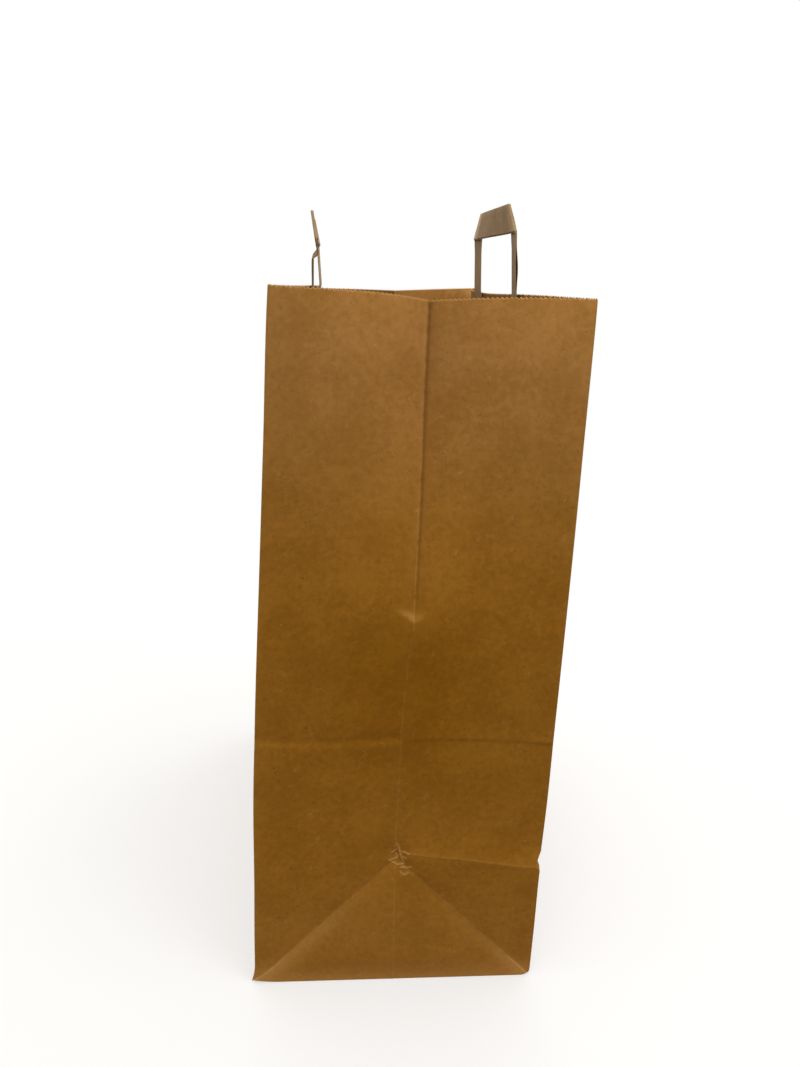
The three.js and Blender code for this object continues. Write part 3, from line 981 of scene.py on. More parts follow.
@dataclass(frozen=True)
class Creases:
    """The folds and dents that the near gusset keeps, as relief out of its face in millimetres."""

    rules: SheetRules
    crumple: Crumple = Crumple()
    ridge_line: Knots = ((0, 0), (6, 1.6), (12, 2.4), (20, 2.8), (35, 3.4), (65, 4.0), (80, 4.8), (90, 3.8))
    ridge_level: Knots = ((0, 95.3), (40, 95), (60, 93.6), (75, 93), (90, 92.5))
    ridge_above: Knots = ((0, 14), (30, 18), (65, 20), (90, 17))
    ridge_below: Knots = ((0, 14), (20, 32), (45, 70), (90, 92))
    kink: float = 256.5
    kink_slope: float = 0.45
    kink_reach: Pair = (8.0, 4.0)
    kink_depth: float = 2.6
    kink_edge: float = 2.4
    kink_fade: float = 30.0
    kink_swell: float = 1.1
    swell_fade: float = 11.0
    # Where the kink's pale lip lies: partly wear, partly painted highlight on the facet that faces up
    kink_lip: Pair = (1.5, 1.8)
    kink_rub: Pair = (-4.0, 5.0)
    groove: float = 0.55
    groove_breadth: float = 0.8
    groove_below: float = 0.2
    groove_start: Pair = (248.0, 256.0)
    lip: Spot = (0.7, -1.5, 1.0)
    trough: Knots = ((256, 0.1), (285, 0.8), (320, 1.1), (360, 1.2), (430, 1.0))
    trough_breadth: float = 4.0
    trough_wall: Pair = (-1.5, 0.5)
    trough_start: Pair = (254.0, 262.0)
    imprint: float = 177.5
    imprint_drift: Knots = ((-90, 3.0), (-65, -1.0), (-35, -3.0), (0, 0.0), (90, 1.0))
    imprint_step: Knots = ((-90, 1.1), (-60, 0.8), (-30, 1.2), (-3, 1.4), (0, 0.0))
    imprint_pleat: Knots = ((0, 0.0), (6, 0.5), (35, 0.6), (60, 0.5), (90, 0.8))
    step_rise: Pair = (-3.5, 2.5)
    step_fade: float = 9.0
    pleat_rise: Pair = (-1.5, 1.5)
    pleat_fade: float = 6.0
    pillow: float = 3.4
    pillow_rise: float = 7.0
    pillow_foot: Pair = (0.0, 22.0)
    shoulder: float = 1.8
    shoulder_rise: float = 11.0
    shoulder_fade: float = 35.0
    shoulder_foot: Pair = (2.0, 30.0)
    crumple_wear: float = 0.6
    kink_wear: float = 0.25
    # Paleness inside the diagonals: partly wear, partly painted highlight
    diagonal_wear: float = 0.17
    diagonal_breadth: Pair = (6.5, 1.2)
    diagonal_front: Pair = (35.0, 75.0)
    diagonal_back: Pair = (14.0, 42.0)
    # Where painted shade darkens the belly
    belly_breadth: float = 48.0
    belly_foot: Pair = (110, 200)
    belly_top: Pair = (225, 285)

    def relief(self, v: np.ndarray, s: np.ndarray) -> np.ndarray:
        """Adds all the near gusset's creases together.

        Args:
            v: Distance across from the centre crease, positive towards the back wall.
            s: Height on the sheet.

        Returns:
            How far each point stands out.
        """
        folds = self.centre(v, s) + self.ridge(v, s) + self.dent(v, s) + self.old_fold(v, s)
        return folds + self.crumple.relief(v, s) + self.toe(v, s)

    def centre(self, v: np.ndarray, s: np.ndarray) -> np.ndarray:
        """The line of the centre crease, with a lip on its front side and a trough on its back side."""
        height, place, breadth = self.lip
        line = height * bell(v - place, breadth) - bell(v, self.groove_breadth)
        trough = through(s, self.trough) * fade(v, self.trough_breadth) * ramp(v, *self.trough_wall)
        share = self.groove_below + (1.0 - self.groove_below) * ramp(s, *self.groove_start)
        return self.groove * share * line - trough * ramp(s, *self.trough_start)

    def ridge(self, v: np.ndarray, s: np.ndarray) -> np.ndarray:
        """The ridge from the apex to the back corner, where the bottom was once folded up."""
        crest = through(v, self.ridge_line) * (v > 0)
        rise = s - through(v, self.ridge_level)
        above = np.maximum(0.0, 1.0 - rise / through(np.abs(v), self.ridge_above)) ** 2
        below = np.maximum(0.0, 1.0 + rise / through(np.abs(v), self.ridge_below))
        return crest * np.where(rise > 0.0, above, below)

    def dent(self, v: np.ndarray, s: np.ndarray) -> np.ndarray:
        """The kink where the crease pops from a valley to a bulge: a small facet over a swelling."""
        across = bell(v, np.where(v < 0, *self.kink_reach))
        rise = self.above_kink(v, s)
        shelf = fade(rise, self.kink_edge)
        facet = (1.0 - shelf) * fade(rise, self.kink_fade)
        swell = fade(-rise, self.swell_fade) * shelf
        return across * (self.kink_swell * swell - self.kink_depth * facet)

    def above_kink(self, v: np.ndarray, s: np.ndarray) -> np.ndarray:
        """How far a point lies above the kink, whose two arms slope up."""
        return s - self.kink - self.kink_slope * np.abs(v)

    def kinked(self, v: np.ndarray, s: np.ndarray) -> np.ndarray:
        """How strongly each point lies on the pale lip of the kink, from 0 to 1: partly rubbed wear, partly
        painted highlight on the small facet that faces up.
        """
        (level, height), (place, breadth) = self.kink_lip, self.kink_rub
        return bell(self.above_kink(v, s) - level, height) * bell(v - place, breadth)

    def rubbed(self, v: np.ndarray, s: np.ndarray) -> np.ndarray:
        """How strongly the fold triangle is paled along its diagonals, from 0 to 1: partly rubbed wear,
        partly painted highlight on the paper that faces up inside them.
        """
        apart = self.in_triangle(v, s)
        band = bell(apart, np.where(apart > 0.0, *self.diagonal_breadth))
        front, back = ramp(s, *self.diagonal_front), ramp(s, *self.diagonal_back)
        return band * np.where(v < 0, 1.0 - front, 1.0 - back)

    def in_triangle(self, v: np.ndarray, s: np.ndarray) -> np.ndarray:
        """How far a point lies inside the fold triangle from its diagonals, below 0 outside it."""
        return (self.rules.half - s - np.abs(v)) / ROOT_TWO

    def crush(self, v: np.ndarray, s: np.ndarray) -> np.ndarray:
        """How pale the crumple has worn, and the kink and the diagonals with wear and painted highlight
        together, from 0 to 1.
        """
        worn = self.crumple.worn(v, s) * self.crumple_wear + self.kinked(v, s) * self.kink_wear
        return worn + self.rubbed(v, s) * self.diagonal_wear

    def rub(self, v: np.ndarray, s: np.ndarray) -> np.ndarray:
        """How strongly painted shade darkens the belly, from 0 to 1."""
        return bell(v, self.belly_breadth) * ramp(s, *self.belly_foot) * (1.0 - ramp(s, *self.belly_top))

    def old_fold(self, v: np.ndarray, s: np.ndarray) -> np.ndarray:
        """The faint fold across the gusset: a step in on its front half, a small pleat on its back half."""
        rise = s - self.imprint - through(v, self.imprint_drift)
        step = -through(v, self.imprint_step) * ramp(rise, *self.step_rise) * fade(rise, self.step_fade)
        pleat = through(v, self.imprint_pleat) * ramp(rise, *self.pleat_rise)
        return step + pleat * fade(rise - self.pleat_rise[1], self.pleat_fade)

    def toe(self, v: np.ndarray, s: np.ndarray) -> np.ndarray:
        """The fold triangle over the base: the paper bulges a little on each side of its diagonal folds."""
        apart = self.in_triangle(v, s)
        inside = self.pillow * (1.0 - fade(apart, self.pillow_rise)) * ramp(s, *self.pillow_foot)
        beyond = self.shoulder * (1.0 - fade(-apart, self.shoulder_rise)) * fade(-apart, self.shoulder_fade)
        return inside + beyond * ramp(s, *self.shoulder_foot)


@dataclass
class Panel:
    """One panel of the sheet as a grid of points, and what is kept on them."""

    points: np.ndarray
    around: np.ndarray
    kept: Dict[str, np.ndarray]

    def cut(self, turned: bool) -> "Panel":
        """Drops the last column, after turning the panel round where it runs the other way.

        Args:
            turned: Whether the panel runs the other way.

        Returns:
            The panel, ready to be joined to the next.
        """
        order = slice(None, None, -1) if turned else slice(None)
        around = self.around[-1] - self.around[order] + self.around[0] if turned else self.around
        kept = {name: grid[:, order][:, :-1] for name, grid in self.kept.items()}
        return Panel(self.points[:, order][:, :-1], around[:-1], kept)


def nearest_fold(folds: Sequence[Tuple[np.ndarray, Union[np.ndarray, float]]]) -> Dict[str, np.ndarray]:
    """Finds the nearest of several folds for each point.

    Args:
        folds: Each fold's distance from the points, and how worn it is.

    Returns:
        The distance to the nearest fold, and how worn that fold is.
    """
    apart = np.stack([distance for distance, _ in folds])
    which = np.argmin(apart, axis=0)
    wear = np.choose(which, [np.broadcast_to(level, which.shape) for _, level in folds])
    return {"fold_mm": apart.min(axis=0), "fold_wear": wear}


@dataclass(frozen=True)
class FoldWear:
    """How pale each fold of the sheet has worn, from 0 to 1, and between which heights that changes; on the
    crease above the kink and at the far corner of the mouth, part of that paleness is painted highlight.
    """

    crease: float = 0.07
    # Above the kink the pale line on the crease's front lip is partly wear and partly painted highlight
    # where the lip catches the light
    crease_at_kink: float = 0.17
    crease_at_rim: float = 0.08
    crease_shift: float = -1.0
    kink_band: Pair = (250, 258)
    rim_band: Pair = (320, 400)
    diagonal: float = 0.09
    diagonal_end: float = 0.45
    end_band: Pair = (3.0, 24.0)
    corner: float = 0.2
    gusset_foot: float = 0.4
    wall_foot: float = 0.2
    ridge: float = 0.15
    ridge_from: float = 5.0
    imprint: float = 0.1
    seam: float = 0.2
    back_fold: float = 0.3
    # The pale far back corner of the mouth: crushed wear, strengthened with painted highlight where light
    # falls into the mouth
    far_corner: float = 0.9
    far_corner_breadth: float = 9.0
    far_corner_band: Pair = (418.0, 426.0)


@dataclass
class BagBody:
    """The bag itself: one folded sheet with a toothed mouth and a glued block bottom."""

    rules: SheetRules
    paper: bpy.types.Material
    wear: FoldWear = FoldWear()
    seam_inset: float = 14.0
    seam_width: float = 22.0
    seam_step: float = 0.15
    flap_overlap: float = 30.0
    corner_round: float = 0.24
    toe_round: Spot = (-1.2, -0.6, 1.2)
    toe_reach: float = 6.0
    heel_splay: Spot = (0.0, -2.2, 2.0)
    heel_reach: float = 16.0
    ripple_height: float = 0.4
    ripple_scale: float = 16.0
    ripple_seed: float = 4.0
    free_of_fold: Pair = (2.0, 30.0)
    free_of_floor: Pair = (4.0, 60.0)
    free_at_mouth: float = 0.6
    mouth_fold: float = 9.0
    floor_cut: Pair = (600.0, 100.0)
    flap_cut: Pair = (600.0, 300.0)

    def build(self, maker: PaperMaker) -> bpy.types.Object:
        """Makes the bag's sheet and its bottom flaps, as one piece.

        Args:
            maker: Turns open sheets into paper.

        Returns:
            The finished piece.
        """
        paper, teeth = self.rules.paper, self.rules.tooth_depth
        sizes = PaperSizes(paper, teeth, self.ripple_height, self.ripple_scale, self.ripple_seed)
        body = maker.make(self.sheet(), "bag_sheet", self.paper, sizes)
        flat = PaperSizes(paper)
        flaps = [maker.make(self.flap(side), f"flap_{side.label}", self.paper, flat) for side in Side]
        with bpy.context.temp_override(active_object=body, selected_editable_objects=[body, *flaps]):
            bpy.ops.object.join()
        return body

    def gusset_marks(self, end: End) -> np.ndarray:
        """Distances of a gusset's columns from its crease, closer set where the near one is crumpled."""
        first = ((0, 8, 0.5), (8, 12, 1)) if end is End.NEAR else ((0, 12, 2),)
        return spans(*first, (12, 24, 1.5), (24, 84, 3.4), (84, 88, 2), (88, 90, 1))

    def rows(self) -> np.ndarray:
        """Heights of the sheet's rows; below the apex they meet the columns on the diagonal folds."""
        low = self.rules.half - self.gusset_marks(End.NEAR)[::-1]
        apex = spans((90, 98, 0.5), (98, 102, 1), (102, 114, 1.5), (114, 168, 4.2))
        imprint = spans((168, 190, 1), (190, 196, 2), (196, 244, 4.4))
        top = spans((244, 268, 1), (268, 284, 2), (284, 420, 5), (420, 427.3, 2.4))
        return np.concatenate([low[:-1], apex[:-1], imprint[:-1], top])

    def wall_marks(self) -> np.ndarray:
        """Places of a wide wall's columns along x, with both edges of the glued seam."""
        half = self.rules.width / 2
        lap, step = self.seam_inset - half, self.seam_step
        end = lap + self.seam_width
        edges = np.array([lap - step, lap + step, end - step, end + step])
        corner = spans((0, 1, 1), (1, 3, 2))
        even = np.concatenate([corner - half, spans((3 - half, half - 3, 9.3))[1:-1], half - corner[::-1]])
        clear = even[np.min(np.abs(even[:, None] - edges[None, :]), axis=1) > 2.0]
        return np.sort(np.concatenate([clear, edges]))

    def gusset_panel(self, end: End) -> Panel:
        """Lays out one gusset.

        Args:
            end: Which gusset.

        Returns:
            Its grid, without the last corner column.
        """
        rules, wear = self.rules, self.wear
        marks = self.gusset_marks(end)
        v, s = np.meshgrid(np.concatenate([-marks[:0:-1], marks]), self.rows())
        points = rules.gusset(end, v / rules.half, s)
        diagonal = np.where(s <= rules.half, np.abs(np.abs(v) + s - rules.half) / ROOT_TWO, NO_FOLD)
        kink, rim = ramp(s, *wear.kink_band), ramp(s, *wear.rim_band)
        # Crease wear, with painted highlight on the front lip above the kink
        crease = wear.crease + wear.crease_at_kink * kink - wear.crease_at_rim * rim
        ends = wear.diagonal + wear.diagonal_end * (1.0 - ramp(s, *wear.end_band))
        folds = [(np.abs(v - wear.crease_shift), crease), (diagonal, ends)]
        folds += [(rules.half - np.abs(v), wear.corner), (s, wear.gusset_foot)]
        if end is End.NEAR:
            creases = Creases(rules)
            points[..., 0] += creases.relief(v, s)
            ridge = np.where(v > wear.ridge_from, np.abs(s - through(v, creases.ridge_level)), NO_FOLD)
            folds.append((ridge, wear.ridge))
            crush, rub = creases.crush(v, s), creases.rub(v, s)
            self.settle_corners(points, v, s)
        else:
            # Crushed wear at the far back corner of the mouth, strengthened with painted highlight
            at_corner = bell(rules.half - v, wear.far_corner_breadth)
            crush = wear.far_corner * at_corner * ramp(s, *wear.far_corner_band)
            rub = np.zeros_like(v)
        self.round_folds(points, v)
        around = v[0] + rules.half + rules.width
        return Panel(points, around, {**nearest_fold(folds), "crush": crush, "rub": rub}).cut(end is End.FAR)

    def wall_panel(self, side: Side) -> Panel:
        """Lays out one wide wall.

        Args:
            side: Which wall.

        Returns:
            Its grid, without the last corner column.
        """
        rules, wear = self.rules, self.wear
        half = rules.width / 2
        x, s = np.meshgrid(self.wall_marks(), self.rows())
        points = rules.wall(side, x / half, s)
        lap = self.seam_inset - half
        folds = [(half - np.abs(x), wear.corner), (s, wear.wall_foot)]
        if side is Side.FRONT:
            points[..., 1] -= rules.paper * ((x > lap) & (x < lap + self.seam_width))
            folds.append((np.abs(s - rules.depth), wear.imprint))
            folds.append((np.abs(x - lap - self.seam_width), wear.seam))
        else:
            folds.append((np.abs(s - rules.half), wear.back_fold))
        self.settle_corners(points, np.where(x > 0, side * (rules.half - half + x), 0.0), s)
        self.round_folds(points, x / half * rules.half)
        blank = {"crush": np.zeros_like(x), "rub": np.zeros_like(x)}
        return Panel(points, x[0] + half, {**nearest_fold(folds), **blank}).cut(side is Side.BACK)

    def settle_corners(self, points: np.ndarray, v: np.ndarray, s: np.ndarray) -> None:
        """Scuffs the two near base corners: one is rounded up, and the other is splayed out.

        Args:
            points: The panel's points, which are moved.
            v: Distance across the near gusset, negative towards the front wall.
            s: Height on the sheet.
        """
        half = self.rules.half
        back = np.maximum(0.0, 1.0 - np.hypot(half - v, s) / self.toe_reach) ** 2
        front = np.maximum(0.0, 1.0 - np.hypot(half + v, s) / self.heel_reach) ** 2
        for axis, (toe, heel) in enumerate(zip(self.toe_round, self.heel_splay)):
            points[..., axis] += toe * back + heel * front

    def round_folds(self, points: np.ndarray, v: np.ndarray) -> None:
        """Takes the sharp edge off the corner folds and the bottom fold."""
        at_corner = np.abs(np.abs(v[0]) - self.rules.half) < 0.01
        points[:, at_corner, :2] -= np.sign(points[:, at_corner, :2]) * self.corner_round
        points[0, :, :2] -= np.sign(points[0, :, :2]) * self.corner_round
        points[0, :, 2] += 2.0 * self.rules.paper

    def sheet(self) -> OpenSheet:
        """Joins the four panels, closes the bottom and adds the row for the toothed edge.

        Returns:
            The open sheet of the whole bag.
        """
        rules = self.rules
        girth = rules.width + rules.depth
        panels = [self.wall_panel(Side.FRONT), self.gusset_panel(End.NEAR)]
        panels += [self.wall_panel(Side.BACK), self.gusset_panel(End.FAR)]
        points = np.concatenate([panel.points for panel in panels], axis=1)
        starts = (0.0, 0.0, girth, girth)
        around = np.concatenate([panel.around + start for panel, start in zip(panels, starts)])
        around = np.append(around, 2.0 * girth)
        rows, count = points.shape[:2]
        heights = self.rows()
        whole = OpenSheet(points.reshape(-1, 3), [], [], {})
        falling = self.falling(around)
        for r in range(rows - 1):
            for c in range(count):
                self.add_cell(whole, r, c, around, heights, falling[c] and heights[r] < rules.half)
        floor = list(range(count))[::-1]
        whole.faces.append(tuple(floor))
        across, along = self.floor_cut
        whole.corners.extend((points[0, c, 0] + across, points[0, c, 1] + along) for c in floor)
        for name in panels[0].kept:
            whole.kept[name] = np.concatenate([panel.kept[name] for panel in panels], axis=1).ravel()
        level = np.repeat(heights, count)
        whole.kept["rim_mm"] = rules.height - level
        whole.kept["tooth"] = np.zeros(rows * count)
        clear = ramp(whole.kept["fold_mm"], *self.free_of_fold)
        whole.kept["free"] = clear * ramp(level, *self.free_of_floor)
        self.add_mouth(whole, points, around, heights)
        return whole

    def falling(self, around: np.ndarray) -> np.ndarray:
        """Finds the columns whose low cells are split along a falling diagonal fold."""
        middle = (around[:-1] + around[1:]) / 2.0
        first = self.rules.width + self.rules.half
        last = first + self.rules.width + self.rules.depth
        return ((middle > first) & (middle < first + self.rules.half)) | (middle > last)

    def add_cell(
        self, whole: OpenSheet, r: int, c: int, around: np.ndarray, heights: np.ndarray, falling: bool
    ) -> None:
        """Adds one cell of the grid as two triangles.

        Args:
            whole: The sheet so far, which is added to.
            r: The cell's row.
            c: The cell's column.
            around: Places of the columns on the flat sheet.
            heights: Heights of the rows.
            falling: Whether the cell is split from its upper left to its lower right.
        """
        count = len(around) - 1
        spots = [(r, c), (r, c + 1), (r + 1, c + 1), (r + 1, c)]
        for pick in ((0, 1, 3), (1, 2, 3)) if falling else ((0, 1, 2), (0, 2, 3)):
            whole.faces.append(tuple(spots[i][0] * count + spots[i][1] % count for i in pick))
            whole.corners.extend((around[spots[i][1]], heights[spots[i][0]]) for i in pick)

    def add_mouth(
        self, whole: OpenSheet, points: np.ndarray, around: np.ndarray, heights: np.ndarray
    ) -> None:
        """Adds the cut edge above the last row, with a point for each tooth and each notch.

        Args:
            whole: The sheet so far, which is added to.
            points: The grid of the sheet.
            around: Places of the columns on the flat sheet.
            heights: Heights of the rows.
        """
        rules = self.rules
        rows, count = points.shape[:2]
        lift = (rules.rim_base - heights[-1]) / (heights[-1] - heights[-2])
        edge = points[-1] + (points[-1] - points[-2]) * lift
        edge = np.concatenate([edge, edge[:1]])
        stops = np.cumsum([0.0, rules.width, rules.half, rules.half, rules.width, rules.half, rules.half])
        places = np.concatenate([self.tooth_places(a, b) for a, b in zip(stops, stops[1:])])
        ring = np.stack([np.interp(places, around, edge[:, axis]) for axis in range(3)], axis=-1)
        base, start, total = (rows - 1) * count, rows * count, len(places)
        low, high = heights[-1], rules.rim_base
        ahead = [*places, stops[-1]]
        c = t = 0
        while c < count or t < total:
            if t < total and (c == count or ahead[t + 1] - 0.001 <= around[c + 1]):
                whole.faces.append((base + c % count, start + (t + 1) % total, start + t))
                whole.corners.extend([(around[c], low), (ahead[t + 1], high), (ahead[t], high)])
                t += 1
            else:
                whole.faces.append((base + c % count, base + (c + 1) % count, start + t % total))
                whole.corners.extend([(around[c], low), (around[c + 1], low), (ahead[t], high)])
                c += 1
        whole.points = np.concatenate([whole.points, ring])
        extra = {"fold_mm": self.mouth_fold, "free": self.free_at_mouth, "tooth": np.arange(total) % 2}
        for name, values in whole.kept.items():
            whole.kept[name] = np.concatenate([values, np.broadcast_to(extra.get(name, 0.0), total)])

    def tooth_places(self, start: float, stop: float) -> np.ndarray:
        """Spaces the teeth and notches evenly along one stretch of the cut edge."""
        count = max(1, round((stop - start) / self.rules.tooth_pitch))
        return np.linspace(start, stop, 2 * count + 1)[:-1]

    def flap(self, side: Side) -> OpenSheet:
        """Lays out one long flap of the block bottom, as seen from below.

        Args:
            side: The wall it is folded in from.

        Returns:
            The flap as an open sheet, with its outer face down.
        """
        rules = self.rules
        depth = rules.half + self.flap_overlap / 2
        half = rules.width / 2 - rules.paper
        columns = spans((-1.0, 0.9, 0.09), (0.9, 1.0, 0.02))
        share, across = np.meshgrid(columns, spans((0.0, 6.0, 3.0), (6.0, depth, 9.0)))
        x = share * (half - across)
        y = side * (rules.half - rules.paper - across)
        z = np.full_like(x, 0.0 if side is Side.FRONT else rules.paper)
        points = np.stack([x, y, z], axis=-1)
        self.settle_corners(points, y, rules.width / 2 - x)
        free_edge = np.minimum(depth - across, (1.0 - np.abs(share)) * (half - across))
        flat = np.stack([x, y], axis=-1) + self.flap_cut
        kept = {"fold_mm": NO_FOLD, "rim_mm": free_edge + 0.3}
        return OpenSheet.from_grid(points, flat, kept, side is Side.FRONT)


@dataclass(frozen=True)
class LegStance:
    """How one leg of a handle has settled, in millimetres and degrees.

    It stands off the wall at the rim (start) and at the grip (reach), and bends from one to the other
    between two heights, lower at its outer edge where it has a slant. It twists about its length, splits
    a little along its outer edge, springs past the grip's line above its bend, and tilts the grip.
    """

    start: float
    reach: float
    bend: Pair
    twist: float
    split: float
    tilt: float
    spring: float = 0.0
    slant: float = 0.0


@dataclass(frozen=True)
class HandleStance:
    """How one handle has settled on its wall: its rise over the rim, its legs, and the bow of its grip."""

    side: Side
    rise: float
    near: LegStance
    far: LegStance
    bow: float = 0.0


# The front handle is kinked in its near leg, and its grip leans out over the wall
FRONT_STANCE = HandleStance(
    Side.FRONT,
    rise=25.2,
    near=LegStance(
        start=0.81, reach=2.36, bend=(16.4, 18.4), twist=0.008, split=0.2, tilt=-9.5, spring=1.39, slant=0.2
    ),
    far=LegStance(start=1.02, reach=-0.9, bend=(0.0, 25.2), twist=-0.029, split=0.2, tilt=-10.3),
    bow=-0.9,
)
BACK_STANCE = HandleStance(
    Side.BACK,
    rise=33.75,
    near=LegStance(start=2.27, reach=5.15, bend=(0.0, 33.75), twist=-0.064, split=1.0, tilt=4.9),
    far=LegStance(start=2.54, reach=4.5, bend=(0.0, 33.75), twist=0.088, split=0.2, tilt=-3.0),
)


@dataclass
class TapeHandle:
    """A handle: one folded paper tape with a 45 degree fold at each end of the grip."""

    rules: SheetRules
    stance: HandleStance
    paper: bpy.types.Material
    width: float = 17.0
    thickness: float = 0.8
    span: float = 112.0
    length: float = 77.0
    glue: float = 0.3
    ply: float = 0.24
    ply_points: int = 6
    fold_turn: float = 0.025
    fold_bulge: float = 0.25
    split_level: float = 0.42
    split_spread: float = 0.3
    freed: Pair = (-16.0, -1.0)
    freed_beside: Pair = (0.5, 8.0)
    grip_from: float = 0.72
    fold_wear: Pair = (0.06, 0.05)
    edge_wear: float = 8.0
    strip_cut: float = 10.0

    @property
    def middle(self) -> float:
        """How far the middle of a leg lies from the middle of the handle."""
        return (self.span - self.width) / 2

    def spot(self, a: np.ndarray, h: np.ndarray, d: np.ndarray, turned: float = 0.0) -> np.ndarray:
        """Finds where a point of the tape lies.

        Args:
            a: Distance along the wall.
            h: Height above the rim.
            d: Distance in from the wall's inner face.
            turned: How far the tape has turned over, from 0 on a leg to 1 on the grip.

        Returns:
            The points.
        """
        a, h, d = np.broadcast_arrays(np.asarray(a, float), np.asarray(h, float), np.asarray(d, float))
        stance, rules, middle = self.stance, self.rules, self.middle
        s = rules.height + np.minimum(h, 0.0)
        share = (a + middle) / (2.0 * middle)
        share = (share + ramp(share, 0.0, 1.0)) / 2.0
        beside = np.abs(np.abs(a) - middle) - self.width / 2
        loose = ramp(h, *self.freed) * (1.0 - ramp(beside, *self.freed_beside))
        flat = ramp(h, self.grip_from * stance.rise, stance.rise)
        far, near = (rules.wall_y(stance.side, np.full_like(s, x), s) for x in (-middle, middle))
        bowed = rules.wall_y(stance.side, a, s)
        leg_y = np.where(a > 0, near, far)
        wall = bowed + (leg_y - bowed) * loose * (1.0 - flat) + (far + (near - far) * share - bowed) * flat
        ended = turned + (1.0 - turned) * ramp(h, stance.rise, stance.rise + self.width)
        wall = wall + self.of_leg(a, "twist") * (a - np.sign(a) * self.span / 2) * loose * (1.0 - ended)
        bent = np.where(a > 0, self.bent(stance.near, a, h), self.bent(stance.far, a, h))
        begin = self.of_leg(a, "start") * loose
        past = np.where(a > 0, self.past(stance.near, h), self.past(stance.far, h)) * bent
        reach = self.along_grip(share, "reach") + stance.bow * 4.0 * share * (1.0 - share)
        grip = np.maximum(0.0, h - stance.rise)
        tilt = np.radians(self.along_grip(share, "tilt"))
        inward = d + rules.paper + self.glue + begin + (reach - begin) * bent + past + grip * np.sin(tilt)
        z = s + np.clip(h, 0.0, stance.rise) + grip * np.cos(tilt)
        return np.stack([a, wall - stance.side * inward, z], axis=-1)

    def of_leg(self, a: np.ndarray, name: str) -> np.ndarray:
        """Reads one of the legs' values for points along the wall."""
        return np.where(a > 0, getattr(self.stance.near, name), getattr(self.stance.far, name))

    def along_grip(self, share: np.ndarray, name: str) -> np.ndarray:
        """Blends one of the legs' values along the grip, from the far leg to the near one."""
        far, near = getattr(self.stance.far, name), getattr(self.stance.near, name)
        return far + (near - far) * share

    def bent(self, leg: LegStance, a: np.ndarray, h: np.ndarray) -> np.ndarray:
        """How far a leg has come from the wall to the grip, from 0 to 1."""
        level = h + leg.slant * (np.abs(a) - self.middle)
        return np.clip((level - leg.bend[0]) / (leg.bend[1] - leg.bend[0]), 0.0, 1.0)

    def past(self, leg: LegStance, h: np.ndarray) -> np.ndarray:
        """How far a leg stands past the line of the grip above its bend."""
        rise = self.stance.rise
        return leg.spring * np.clip((rise - h) / max(rise - leg.bend[1], 1.0), 0.0, 1.0)

    def section(self) -> Tuple[np.ndarray, np.ndarray]:
        """The folded tape cut across: three plies, folded at each edge, with the last one left open.

        Returns:
            Places across the tape from 0 at its outer edge, and depths from its wall side.
        """
        low, mid, high = self.ply / 2, self.thickness / 2, self.thickness - self.ply / 2
        turn, count = self.fold_turn, self.ply_points
        across = np.concatenate([
            np.linspace(0.05, 1.0 - turn, count), [1.0 - turn / 3, 1.0, 1.0 - turn / 3],
            np.linspace(1.0 - turn, turn, count), [turn / 3, 0.0, turn / 3],
            np.linspace(turn, 0.955, count),
        ])
        fold = np.linspace(0, 1, 5)[1:-1]
        depth = np.concatenate([
            np.full(count, low), low + (mid - low) * fold,
            np.full(count, mid), mid + (high - mid) * fold,
            np.full(count, high),
        ])
        return across, depth

    def stations(self) -> List[Tuple[Pair, Pair, float]]:
        """Lays out the tape from foot to foot.

        Returns:
            For each station, its outer and inner edge as pairs of a and h, and how far it has turned over.
        """
        out = self.span / 2
        inn = out - self.width
        rise = self.stance.rise
        foot = rise - self.length
        heights = np.concatenate([np.linspace(foot, -8.0, 6), np.linspace(-8.0, rise - 2.0, 23)[1:]])
        leg = [((out, h), (inn, h), 0.0) for h in heights]
        skew = [
            ((out, rise - 1.5 + 1.5 * k), (inn, rise - 2.0 + (self.width + 2.0) * k), 0.0)
            for k in (0.25, 0.6, 1.0)
        ]
        fold = [((out, rise), (inn, rise + self.width), k) for k in (0.25, 0.5, 0.75, 1.0)]
        grip = [((out * k, rise), (inn * k, rise + self.width), 1.0) for k in (0.75, 0.5, 0.25)]
        half = leg + skew + fold + grip
        middle = [((0.0, rise), (0.0, rise + self.width), 1.0)]
        other = [((-o[0], o[1]), (-i[0], i[1]), k) for o, i, k in reversed(half)]
        return half + middle + other

